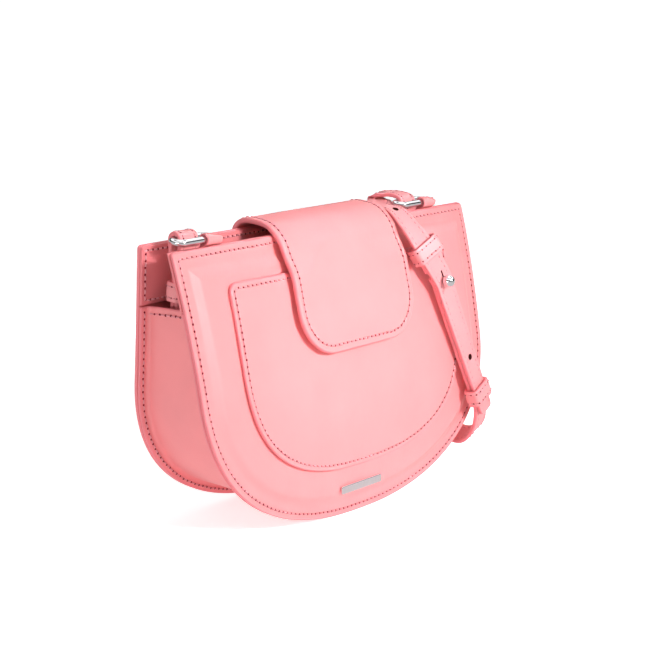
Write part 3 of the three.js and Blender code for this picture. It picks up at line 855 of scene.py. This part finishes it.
facing_height = -INNER - FLANGE
facing_lines = []
for surface, low in ((on_back, FACING_LOW), (on_front, FRONT_FACING_LOW)):
    facing_in = closed_line(band_loop(low, HEIGHT)(FACING_SEAM))
    facing_lines.append(seam_line(surface, facing_in, facing_height, -1))
seam("facing_thread", facing_lines, "body")

flange_lines = []
for surface in (on_back, on_front):
    low_loop = bowl_loop(body_line(GUSSET_TOP), GUSSET_TOP, 2, 2.2)
    u = low_loop[CORNER_POINTS - 2 : CORNER_POINTS + SIDE_POINTS + 2]
    flange_lines.append(seam_line(surface, u, facing_height, -1))
web_top = []
for sign in (1, -1):
    z = GUSSET_TOP - 3.2
    x = body_half(z) - WEB_INSET
    y = np.linspace(-INNER - 1.6, front_y(z) + INNER + 2.4, 40)
    sag = 0.9 * np.sin(np.pi * (y - y[0]) / (y[-1] - y[0])) ** 2
    climb = GUSSET_RISE * np.linspace(0, 1, 40)
    line = np.stack([sign * (x - sag), y, z + climb], 1)
    web_top.append((line, np.tile([sign, 0.0, 0.0], (40, 1))))
seam("gusset_thread", flange_lines + web_top, "body")

# ---- Turned metal ----


def lathe(name, profile, origin, axis, body, replaces, segments=40):
    """profile: (radius, height along the axis), from the axis back to the axis."""
    axis = unit(axis)
    side = unit(np.cross(axis, [0.31, 0.93, 0.17]))
    other = np.cross(axis, side)
    a = np.linspace(0, 2 * math.pi, segments + 1)[:-1]
    rows = [arr(origin) + axis * h + r * (np.cos(a)[:, None] * side + np.sin(a)[:, None] * other)
            for r, h in profile]
    verts = np.concatenate(rows)
    faces = grid_faces(len(profile), segments, around=True)
    faces.append(list(range(segments))[::-1])
    faces.append(list(range(len(verts) - segments, len(verts))))
    faces = outwards(verts, faces)
    return build(name, verts, faces, [METAL], body, replaces)


def round_profile(points, radius, steps=4):
    """Rounds the corners of an open (radius, height) profile."""
    p = arr(points)
    out = [p[0]]
    for a, b, c in zip(p[:-2], p[1:-1], p[2:]):
        u, v = unit(a - b), unit(c - b)
        r = min(radius, 0.45 * np.linalg.norm(a - b), 0.45 * np.linalg.norm(c - b))
        for t in np.linspace(0, 1, steps + 1):
            out.append((1 - t) ** 2 * (b + u * r) + 2 * t * (1 - t) * b + t * t * (b + v * r))
    out.append(p[-1])
    return out


def front_normal(z):
    slope = (front_y(z + 1.0) - front_y(z - 1.0)) / 2
    return unit([0, -1, slope])


snap_corners = [(0.01, 0), (SNAP_R, 0), (SNAP_R, 0.7), (4.4, 0.7), (4.0, 0.45), (0.01, 0.45)]
snap_profile = round_profile(snap_corners, 0.25)
n = front_normal(SNAP_Z)
y = front_y(SNAP_Z)
lathe("pocket_snap_metal", snap_profile, (0, y - POCKET_PROUD - GAP, SNAP_Z), n, "body", ("pocket_snap",))
lathe("flap_snap_metal", snap_profile, (0, y - FLAP_PROUD + 0.05, SNAP_Z), -n, "flap", ("flap_snap",))

BAR_LONG, BAR_TALL, BAR_THICK, BAR_X, BAR_Z = 31.0, 4.0, 1.2, -4.0, 14.0
bar_height = PLATEAU + GAP + BAR_THICK
bar_profile = edge_profile(bar_height, PLATEAU + GAP, 0.35)


def bar_loop(inset):
    low, high = BAR_Z - BAR_TALL / 2, BAR_Z + BAR_TALL / 2
    loop = rounded_rectangle(BAR_LONG / 2, low, high, 0.9, 0.9, inset, side=8, corner=7)
    return loop + [BAR_X, 0]


sheet("name_bar_metal", bar_loop, bar_profile, on_front, [METAL], "body", ("name_bar",),
      middle=4)

# ---- Ribbons: straps, tabs, keepers, rings ----


def section_ring(width, thick, radius, groove_depth=0.12):
    """A rounded rectangle, (across, through) points, with the layers' joint as a fine line in each edge."""
    w, h = width / 2, thick / 2
    u, v = w - radius, h - radius
    turns = np.linspace(0, 90, 5)
    across = np.linspace(-u, u, 9)

    def corner(x, y, degrees):
        return [(x + radius * math.cos(k), y + radius * math.sin(k)) for k in np.radians(degrees)]

    ring = [(x, h) for x in across]
    ring += corner(u, v, 90 - turns[1:])
    ring += [(w, 0.12), (w - groove_depth, 0.0), (w, -0.12)]
    ring += corner(u, -v, -turns[:-1])
    ring += [(-x, -h) for x in across]
    ring += corner(-u, -v, 270 - turns[1:])
    ring += [(-w, -0.12), (-w + groove_depth, 0.0), (-w, 0.12)]
    ring += corner(-u, v, 180 - turns[:-1])
    return arr(ring)


def ribbon(name, frames, ring, materials, body, slot, replaces=(), closed=False, tips=(0.0, 0.0), holes=()):
    """Sweeps a ring of (across, through) points along frames (points, across, through, along)."""
    p, b, n = frames[:3]
    s = lengths(p)
    w = np.abs(ring[:, 0]).max()
    scale = np.ones((len(p), 1))
    thin = np.ones((len(p), 1))
    if not closed:
        for i, tip in enumerate(tips):
            away = s if i == 0 else s[-1] - s
            r = tip or 0.5
            cut = np.clip((r - away) / r, 0, 1)
            scale[:, 0] = np.minimum(scale[:, 0], 1 - (1 - np.sqrt(1 - cut**2)) * min(r / w, 0.9))
            cut = np.clip((0.5 - away) / 0.5, 0, 1)
            thin[:, 0] = np.minimum(thin[:, 0], 1 - 0.5 * (1 - np.sqrt(1 - cut**2)))
    verts = (p[:, None] + b[:, None] * (ring[None, :, :1] * scale[:, None])
             + n[:, None] * (ring[None, :, 1:] * thin[:, None]))
    rows, cols = verts.shape[:2]
    verts = verts.reshape(-1, 3)
    faces = grid_faces(rows, cols, around=True, rows_closed=closed)
    rim = np.tile((np.abs(ring[:, 0]) > w - 0.3).astype(float), rows)
    if not closed:
        rim[:cols] = rim[-cols:] = 1
        faces.append(list(range(cols))[::-1])
        faces.append(list(range((rows - 1) * cols, rows * cols)))
    faces = outwards(verts, faces)
    obj = build(name, verts, faces, materials, None, rim=rim)
    for hole in holes:
        punch(obj, *hole)
    if body:
        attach(obj, body)
    if replaces:
        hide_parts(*replaces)
    return obj


def punch(obj, centre, axis, radius, long=8.0, slit=(0, 0, 0)):
    """Cuts a round hole, or one drawn out along `slit`, and colours its wall dark: painted shade inside the
    hole.
    """
    axis = unit(axis)
    side = unit(np.cross(axis, [0.2, 0.1, 0.9]))
    other = np.cross(axis, side)
    a = np.linspace(0, 2 * math.pi, 29)[:-1]
    circle = np.cos(a)[:, None] * side + np.sin(a)[:, None] * other
    ahead = (circle @ arr(slit) > 0)[:, None]
    circle = circle + ahead * arr(slit) / radius
    ends = [arr(centre) + radius * circle + axis * h for h in (-long / 2, long / 2)]
    verts = np.concatenate(ends)
    faces = grid_faces(2, 28, around=True) + [list(range(28))[::-1], list(range(28, 56))]
    faces = outwards(verts, faces)
    mesh = bpy.data.meshes.new("cutter")
    mesh.from_pydata(place(verts).tolist(), [], faces)
    # The hole's wall takes the near-black painted-shade colour.
    mesh.materials.append(PUNCHED_HOLE_SHADE)
    cutter = add("cutter", mesh)
    if PUNCHED_HOLE_SHADE.name not in obj.data.materials:
        obj.data.materials.append(PUNCHED_HOLE_SHADE)
    modifier = obj.modifiers.new("hole", "BOOLEAN")
    modifier.operation = "DIFFERENCE"
    modifier.solver = "EXACT"
    modifier.material_mode = "TRANSFER"
    modifier.object = cutter
    bpy.context.view_layer.update()
    graph = bpy.context.evaluated_depsgraph_get()
    cut = bpy.data.meshes.new_from_object(obj.evaluated_get(graph))
    obj.modifiers.clear()
    obj.data = cut
    bpy.data.objects.remove(cutter)


class Strip:
    """A strap's centreline and width direction through stations of (x, y, z, width x, y, z)."""

    def __init__(self, stations, per_span=24):
        st = arr(stations)
        self.spans = len(st) - 1
        self.per_span = per_span
        self.line = catmull(st[:, :3], per_span)
        self.wide = catmull(unit(st[:, 3:]), per_span)
        t = unit(np.gradient(self.line, axis=0))
        b = unit(self.wide - t * np.sum(self.wide * t, 1, keepdims=True))
        self.t, self.b, self.n = t, b, np.cross(b, t)

    def at(self, station):
        k = station * self.per_span
        i = np.arange(len(self.line))
        return [columns_at([k], i, a)[0] for a in (self.line, self.b, self.n, self.t)]

    def frames(self, step=1.0):
        """Line, width, thickness and running directions about every `step` mm, closer at the ends."""
        s = lengths(self.line)
        at = np.linspace(0, s[-1], max(3, int(s[-1] / step) + 1))
        p, b, n, t = (columns_at(at, s, a) for a in (self.line, self.b, self.n, self.t))
        near = arr([0, 0.12, 0.3, 0.6])
        ends = np.unique(np.concatenate([near, s[-1] - near, at]))
        return [columns_at(ends, at, a) for a in (p, unit(b), unit(n), unit(t))]


def strap_seams(name, strip, body):
    """Two rows of stitches on each face of a strap."""
    p, b, n, _ = strip.frames(0.8)
    s = lengths(p)
    keep = (s > 1.5) & (s < s[-1] - 1.5)
    lines = []
    for face in (1, -1):
        for side in (1, -1):
            row = p + b * side * (STRAP_WIDTH / 2 - 2.2) + n * face * STRAP / 2
            lines.append((row[keep], (n * face)[keep]))
    return seam(name, lines, body, 0.12, 0.8)


BAR_Y = RING_Y + RING_DEPTH
WRAP = ROD + GAP + STRAP / 2


def wrap(x, degrees):
    a = math.radians(degrees)
    return [x, BAR_Y + WRAP * math.cos(a), RING_Z + WRAP * math.sin(a), 1, 0, 0]


def lying_run(sign, from_z, middle_x):
    """Along the gusset's lining from one height round to the middle of the floor."""
    run = offset(body_line(GUSSET_TOP), lining_in + LINING + GAP + STRAP / 2 + 0.6)
    run = run[: len(run) // 2 + 1]
    keep = run[(run[:, 1] < from_z) & (run[:, 0] > middle_x + 4)]
    keep = np.concatenate([resample(keep, 12), [[middle_x, run[-1, 1]]]])
    return [[sign * x, -15.5 - SWELL * 0.28 * (from_z - z) / from_z, z, 0, 1, 0] for x, z in keep]


LOOP_LEFT = -93.0
left_stations = [
    [LOOP_LEFT, BAR_Y - 0.6, 104, 1, 0, 0],
    [LOOP_LEFT, BAR_Y - 0.6, 112, 1, 0, 0],
    [LOOP_LEFT, BAR_Y - 0.6, 121, 1, 0, 0],
    [LOOP_LEFT, BAR_Y + 1.9, 130.5, 1, 0, 0],
    *[wrap(LOOP_LEFT, a) for a in (0, 45, 90, 135, 180)],
    [LOOP_LEFT, BAR_Y - 2.9, 127, 1, 0, 0],
    [LOOP_LEFT, BAR_Y - 2.9, 114, 1, 0, 0],
    [LOOP_LEFT, BAR_Y - 2.9, 108, 1, 0, 0],
    [LOOP_LEFT - 0.2, BAR_Y - 3.2, 103.5, 0.8, 0.6, 0],
    [LOOP_LEFT - 1, BAR_Y - 3.6, 98.5, 0.35, 0.93, 0],
    *lying_run(-1, 84, 2),
]
LEFT_KEEPER = 10

LOOP_RIGHT = 70.4
STUD = arr([65.8, -44.2, 102.9])
LOW_KEEPER = arr([90.4, -57, 41.5])
LEG = 65.3  # stud to lower keeper along the strap


def along_leg(mm):
    p = STUD + unit(LOW_KEEPER - STUD) * mm
    share = min(1.0, mm / LEG)
    return [*p, 0.92, 0.17 - 0.25 * (1 - share), 0.26 + 0.04 * (1 - share)]


# From the ring's back bar over the top, forward in an arch and down to the tip
tail_stations = [
    *[wrap(LOOP_RIGHT, a) for a in (330, 270, 225, 180, 135, 90)],
    [69.4, -7.5, 140.4, 1, 0.1, 0],
    [67.9, -3.4, 140, 0.96, 0.25, 0],
    [66.2, 0, 139.3, 0.95, 0.3, 0],
    [65.7, 1.4, 137.9, 0.97, 0.2, 0],
    [65.3, 0, 136.6, 0.97, 0.1, 0],
    [61.5, -4.4, 136.3, 0.88, -0.4, 0],
    [53.2, -9.8, 136.1, 0.93, -0.3, 0],
    [51.4, -14, 136.4, 0.97, -0.2, 0],
    [51.2, -21.5, 136, 1, 0, 0.1],
    [51.4, -31.9, 129, 0.95, -0.05, 0.2],
    [54.8, -39.9, 119, 0.88, -0.22, 0.32],
    [60.6, -42.7, 110.4, 0.9, -0.14, 0.32],
    *[along_leg(mm) for mm in (0, 6, 22, 44, LEG, LEG + 11)],
]
TOP_HOLE, UPPER_KEEPER, STUD_AT, LOW_HOLE, LOWER_KEEPER = 14, 16, 18, 21.02, 22
tail = Strip(tail_stations)
OUT = float(np.sign(-tail.at(STUD_AT)[2][1]))


def under(station):
    p, b, n, _ = tail.at(station)
    return [*(p - n * LAYER * OUT), *b]


# From the bag's floor up over the gusset, down outside it, round below and up behind the tail
main_stations = [
    *lying_run(1, 92, 2)[::-1],
    [97.7, -15.5, 101, 0, 1, 0],
    [99, -15.6, 107.4, 0, 1, 0],
    [102.6, -15.8, 109.4, 0, 1, 0],
    [106.4, -16, 107.4, 0, 1, 0],
    [107.6, -16.6, 100, 0.05, 1, 0],
    [108.2, -18.5, 86, 0.25, 1, 0],
    [107.8, -21.5, 66, 0.6, 0.8, 0],
    [105, -24, 46, 1, 0.4, 0],
    [100, -27, 30, 1, 0.1, 0],
    [98.4, -31.5, 18.5, 0.9, 0.1, 0.4],
    [97.6, -38, 15.8, 0.8, 0, 0.6],
    [96.2, -45, 16.2, 0.8, 0, 0.6],
    [95, -51, 20, 0.88, 0.05, 0.42],
    [94, -54.8, 26, 0.92, 0.1, 0.28],
    *[under(k) for k in (22.6, 22.3, 22, 21, 20, 19, 18, 17.45)],
]
main = Strip(main_stations)
left = Strip(left_stations)
back_end = Strip([under(k) for k in (15.62, 16, 16.6, 17.05)])
strap_ring = section_ring(STRAP_WIDTH, STRAP, 0.7)


def hole_at(station, radius=HOLE_R, long=8.0):
    p, _, n, _ = tail.at(station)
    return (p, n, radius, long)


def keyhole_slit(mm):
    """The cut that runs up the strap from the stud's hole and lets the ball through."""
    p, _, n, t = tail.at(STUD_AT)
    return (p - t * STUD_HOLE_R * 0.8, n, 0.38, 4, -t * mm)


def strap(part, strip, body, **details):
    """One strap leather in place of its CAD node."""
    ribbon(f"{part}_leather", strip.frames(), strap_ring, [STRAP_SKIN], body, "leather", (part,), **details)


strap("strap_left", left, "strap_left")
strap("strap_tail", tail, "strap_right", tips=(0, 2.6),
      holes=[hole_at(TOP_HOLE, long=5), hole_at(STUD_AT, STUD_HOLE_R, 4), hole_at(LOW_HOLE, long=4.4),
             keyhole_slit(4.2)])
strap("strap_main", main, "strap_right")
strap("strap_return", back_end, "strap_right")
strap_seams("strap_left_thread", left, "strap_left")
strap_seams("strap_tail_thread", tail, "strap_right")
strap_seams("strap_main_thread", main, "strap_right")


def keeper(part, strip, station, to_back, slack, body):
    """A closed band round two strap layers."""
    p, b, n, t = strip.at(station)
    w = STRAP_WIDTH / 2 + slack
    low = -STRAP / 2 - LAYER - slack
    high = STRAP / 2 + slack
    grow = KEEPER_WALL / 2
    mid = (low + high) / 2
    loop = rounded_rectangle(w + grow, low - grow, high + grow, 1.9, 1.9, 0, side=14, corner=9, across=24)
    path = p + loop[:, :1] * b + loop[:, 1:] * n * to_back
    tangent = unit(np.roll(path, -1, 0) - np.roll(path, 1, 0))
    across = np.tile(t, (len(path), 1))
    out = unit(np.cross(across, tangent))
    middle = p + n * to_back * mid
    if np.sum(out * (path - middle)) < 0:
        out = -out
    bulge = 0.18 * np.cos(np.linspace(-1, 1, 9) * math.pi / 2)
    ring = section_ring(KEEPER_LONG, KEEPER_WALL, 0.45, 0.0)
    ring[:9, 1] += bulge
    frames = (path, across, out, tangent)
    ribbon(f"{part}_leather", frames, ring, [STRAP_SKIN], body, "leather", (part,), closed=True)
    lines = []
    normals = closed_line(out)
    for side in (1, -1):
        row = closed_line(path) + t * side * (KEEPER_LONG / 2 - 2.0)
        lines.append((row + normals * (KEEPER_WALL / 2 + 0.1), normals))
    seam(f"{part}_thread", lines, body, 0.02, 0.8)


left_out = float(np.sign(-left.at(LEFT_KEEPER)[2][1]))
keeper("keeper_left", left, LEFT_KEEPER, left_out, 0.6, "strap_left")
keeper("keeper_upper", tail, UPPER_KEEPER, OUT, 0.95, "strap_right")
keeper("keeper_lower", tail, LOWER_KEEPER, OUT, 0.6, "keeper_lower")

# Ball stud
stud_p, _, stud_n, _ = tail.at(STUD_AT)
stud_n = stud_n * OUT
foot = -(LAYER + STRAP / 2 + GAP + 0.8)
ball_low = STRAP / 2 - 0.45
ball_mid = ball_low + math.sqrt(BALL_R**2 - NECK_R**2)
stud_profile = round_profile([(0.01, foot), (4.2, foot), (4.2, foot + 0.8), (NECK_R, foot + 0.8)], 0.3)
stud_profile += [(NECK_R, 0.2)]
start = math.asin(NECK_R / BALL_R)
for a in np.linspace(start, math.pi, 26):
    stud_profile.append((max(BALL_R * math.sin(a), 0.01), ball_mid - BALL_R * math.cos(a)))
lathe("stud_metal", stud_profile, stud_p, stud_n, "strap_right", ("strap_stud",), 48)

# Rings
a = np.radians(np.linspace(-90, 90, 25))
half_span = RING_SPAN / 2 - RING_DEPTH / 2
right_bend = np.stack([half_span + RING_DEPTH / 2 * np.cos(a), RING_DEPTH / 2 * np.sin(a)], 1)
straight = np.stack([np.linspace(half_span, -half_span, 40)[1:-1], np.full(38, RING_DEPTH / 2)], 1)
ring_line = np.concatenate([right_bend, straight, -right_bend, -straight])
a = np.linspace(0, 2 * math.pi, 25)[:-1]
rod = np.stack([ROD * np.cos(a), ROD * np.sin(a)], 1)
for label, middle in (("left", -TAB_X), ("right", TAB_X)):
    x0 = middle - RING_LEAD[label] + RING_SPAN / 2
    x, y = ring_line.T
    path = np.stack([x0 + x, RING_Y + RING_DEPTH / 2 + y, 0 * x + RING_Z], 1)
    tangent = unit(np.roll(path, -1, 0) - np.roll(path, 1, 0))
    up = np.tile([0, 0, 1.0], (len(path), 1))
    ribbon(f"ring_{label}_metal", (path, np.cross(tangent, up), up), rod, [METAL], f"ring_{label}",
           "polished_metal", (f"ring_{label}",), closed=True)

# Tabs: a strip of leather from inside the front, over the ring's front bar and back down.
TUBE = ROD + GAP + TAB_LEATHER / 2


def stem(z, layer):
    """A point of the tab's stem behind the front's facing, from the ring's front bar; layer 0 or 1."""
    y = front_y(z) + INNER + FLANGE + GAP + TAB_LEATHER * (0.5 + 1.05 * layer)
    return (y - RING_Y, z - RING_Z)


tab_path = [stem(z, 0) for z in (122, 125, 128, 131, 133.4)]
tab_path += [(TUBE * math.cos(k), TUBE * math.sin(k)) for k in np.radians(np.arange(252, -62, -12))]
tab_path += [stem(z, 1) for z in (133, 131, 128, 125, 122)]
tab_line = resample(catmull(tab_path, 8), 110)
over = int(np.argmax(tab_line[:, 1]))
for label, middle in (("left", -TAB_X), ("right", TAB_X)):
    count = len(tab_line)
    path = np.stack([np.full(count, middle), RING_Y + tab_line[:, 0], RING_Z + tab_line[:, 1]], 1)
    tangent = unit(np.gradient(path, axis=0))
    across = np.tile([1.0, 0, 0], (count, 1))
    out = np.cross(across, tangent)
    narrow = smooth((np.arange(count) - over + 8) / 6)
    ring = section_ring(TAB_WIDTH, TAB_LEATHER, 0.4, 0.0)
    verts = path[:, None] + out[:, None] * ring[None, :, 1:]
    x0 = middle - TAB_WIDTH / 2
    width = TAB_WIDTH - (TAB_WIDTH - TAB_TUNNEL) * narrow
    share = ring[:, 0] / TAB_WIDTH + 0.5
    verts[..., 0] = x0 + share[None] * width[:, None]
    rows, cols = verts.shape[:2]
    verts = verts.reshape(-1, 3)
    faces = grid_faces(rows, cols, around=True)
    faces += [list(range(cols))[::-1], list(range((rows - 1) * cols, rows * cols))]
    rim = np.tile((np.abs(ring[:, 0]) > TAB_WIDTH / 2 - 0.3).astype(float), rows)
    build(f"tab_{label}_leather", verts, outwards(verts, faces), [SKIN], "body", (f"tab_{label}",),
          rim=rim)

# ---- Floor, light and camera ----
floor_mesh = bpy.data.meshes.new("floor")
FLOOR = 14.0  # half its side, m
FLOOR_GLOW, FLOOR_GLOW_SEEN = 0.32, 0.62  # own light on the bag, and as the camera sees it
FLOOR_MIRRORED = 0.42  # grey of the floor in polished metal
corners = [(x * FLOOR, y * FLOOR, 0) for x, y in ((-1, -1), (1, -1), (1, 1), (-1, 1))]
floor_mesh.from_pydata(corners, [], [(0, 1, 2, 3)])
floor = add("floor", floor_mesh)
floor.location.z = -0.0003
paper, tree, shader, where = nodes_of("paper")
fleck = texture(tree, "Noise", where, 0.01, 2)
pale = mix(tree, fleck.outputs["Fac"], (0.93, 0.93, 0.93), (0.91, 0.91, 0.91))
shader.inputs["Roughness"].default_value = 0.9
shader.inputs["Specular IOR Level"].default_value = 0.1
glow = tree.nodes.new("ShaderNodeLightPath")
seen = mix(tree, glow.outputs["Is Glossy Ray"], pale, (FLOOR_MIRRORED,) * 3)
tree.links.new(seen, shader.inputs["Base Color"])
shader.inputs["Emission Color"].default_value = (1, 1, 1, 1)
# The backdrop is lifted to paper white for the eye, and throws some light up at the bag.
lift = ramp(tree, glow.outputs["Is Camera Ray"], 0, 1, FLOOR_GLOW, FLOOR_GLOW_SEEN)
tree.links.new(lift, shader.inputs["Emission Strength"])
floor_mesh.materials.append(paper)

FILL = 0.48  # light from all round on leather and cloth
world = bpy.data.worlds.new("studio")
bpy.context.scene.world = world
world.use_nodes = True
tree = world.node_tree
tree.nodes.clear()
out = tree.nodes.new("ShaderNodeOutputWorld")
rays = tree.nodes.new("ShaderNodeLightPath")
coords = tree.nodes.new("ShaderNodeTexCoord")
axes = tree.nodes.new("ShaderNodeSeparateXYZ")
tree.links.new(coords.outputs["Generated"], axes.inputs[0])
# What polished metal sees: a dark room low round the horizon, bright panels above.
room = tree.nodes.new("ShaderNodeValToRGB")
room.color_ramp.elements[0].color = (0.5, 0.5, 0.5, 1)
room.color_ramp.elements[1].color = (1.0, 1.0, 1.0, 1)
for height, bright in ((0.1, 0.03), (0.4, 0.05), (0.5, 1.3), (0.75, 1.2), (0.85, 0.15)):
    stop = room.color_ramp.elements.new(height)
    stop.color = (bright, bright, bright, 1)
tree.links.new(axes.outputs[2], room.inputs[0])


def sky(color, strength):
    node = tree.nodes.new("ShaderNodeBackground")
    node.inputs[1].default_value = strength
    if hasattr(color, "is_output"):
        tree.links.new(color, node.inputs[0])
    else:
        node.inputs[0].default_value = (*color, 1)
    return node.outputs[0]


def either(factor, a, b):
    node = tree.nodes.new("ShaderNodeMixShader")
    tree.links.new(factor, node.inputs[0])
    tree.links.new(a, node.inputs[1])
    tree.links.new(b, node.inputs[2])
    return node.outputs[0]


lit = either(rays.outputs["Is Glossy Ray"], sky((1, 1, 1), FILL), sky(room.outputs[0], 1.0))
tree.links.new(either(rays.outputs["Is Camera Ray"], lit, sky((1, 1, 1), 1.0)), out.inputs[0])


def direction(azimuth, elevation):
    """From the bag towards a lamp or the camera; azimuth 0 is straight in front."""
    a, e = math.radians(azimuth), math.radians(elevation)
    return Vector((math.sin(a) * math.cos(e), -math.cos(a) * math.cos(e), math.sin(e)))


def softbox(name, azimuth, elevation, distance, width, height, power, spread=180, aim=(0, 0, 0.07)):
    """An area light; a small `spread` makes it a pool that fades towards the bag's sides."""
    data = bpy.data.lights.new(name, "AREA")
    data.shape = "RECTANGLE"
    data.size, data.size_y = width, height
    data.energy = power
    data.spread = math.radians(spread)
    obj = add(name, data)
    back = direction(azimuth, elevation)
    obj.location = Vector(aim) + back * distance
    obj.rotation_mode = "QUATERNION"
    obj.rotation_quaternion = back.to_track_quat("Z", "Y")


softbox("key", 4, 28, 1.3, 0.24, 0.24, 0.33, 18, (-0.005, 0, 0.095))
softbox("side", -75, -1, 1.5, 0.9, 0.12, 4)
softbox("top", 0, 85, 1.4, 1.2, 1.2, 3)

AZIMUTH, ELEVATION, ROLL = -52.4, 14.3, 4.21
DISTANCE, TARGET = 930.0, (15.5, -10.45, 80.4)
LENS = 104.5
back = direction(AZIMUTH, ELEVATION)
right = direction(AZIMUTH + 90, 0)
r = math.radians(ROLL)
up = back.cross(right)
right, up = math.cos(r) * right + math.sin(r) * up, -math.sin(r) * right + math.cos(r) * up
camera_data = bpy.data.cameras.new("camera")
camera_data.lens = LENS
camera_data.clip_start = 0.01
camera = add("camera", camera_data)
eye = Vector(place(TARGET).tolist()) + back * (DISTANCE / 1000)
turn = Matrix((right, up, back)).transposed().to_4x4()
camera.matrix_world = Matrix.Translation(eye) @ turn
bpy.context.scene.camera = camera

view = bpy.context.scene.view_settings
view.view_transform = "Standard"
view.look = "None"
view.exposure = 0.0
view.gamma = 1.0

bpy.context.view_layer.update()
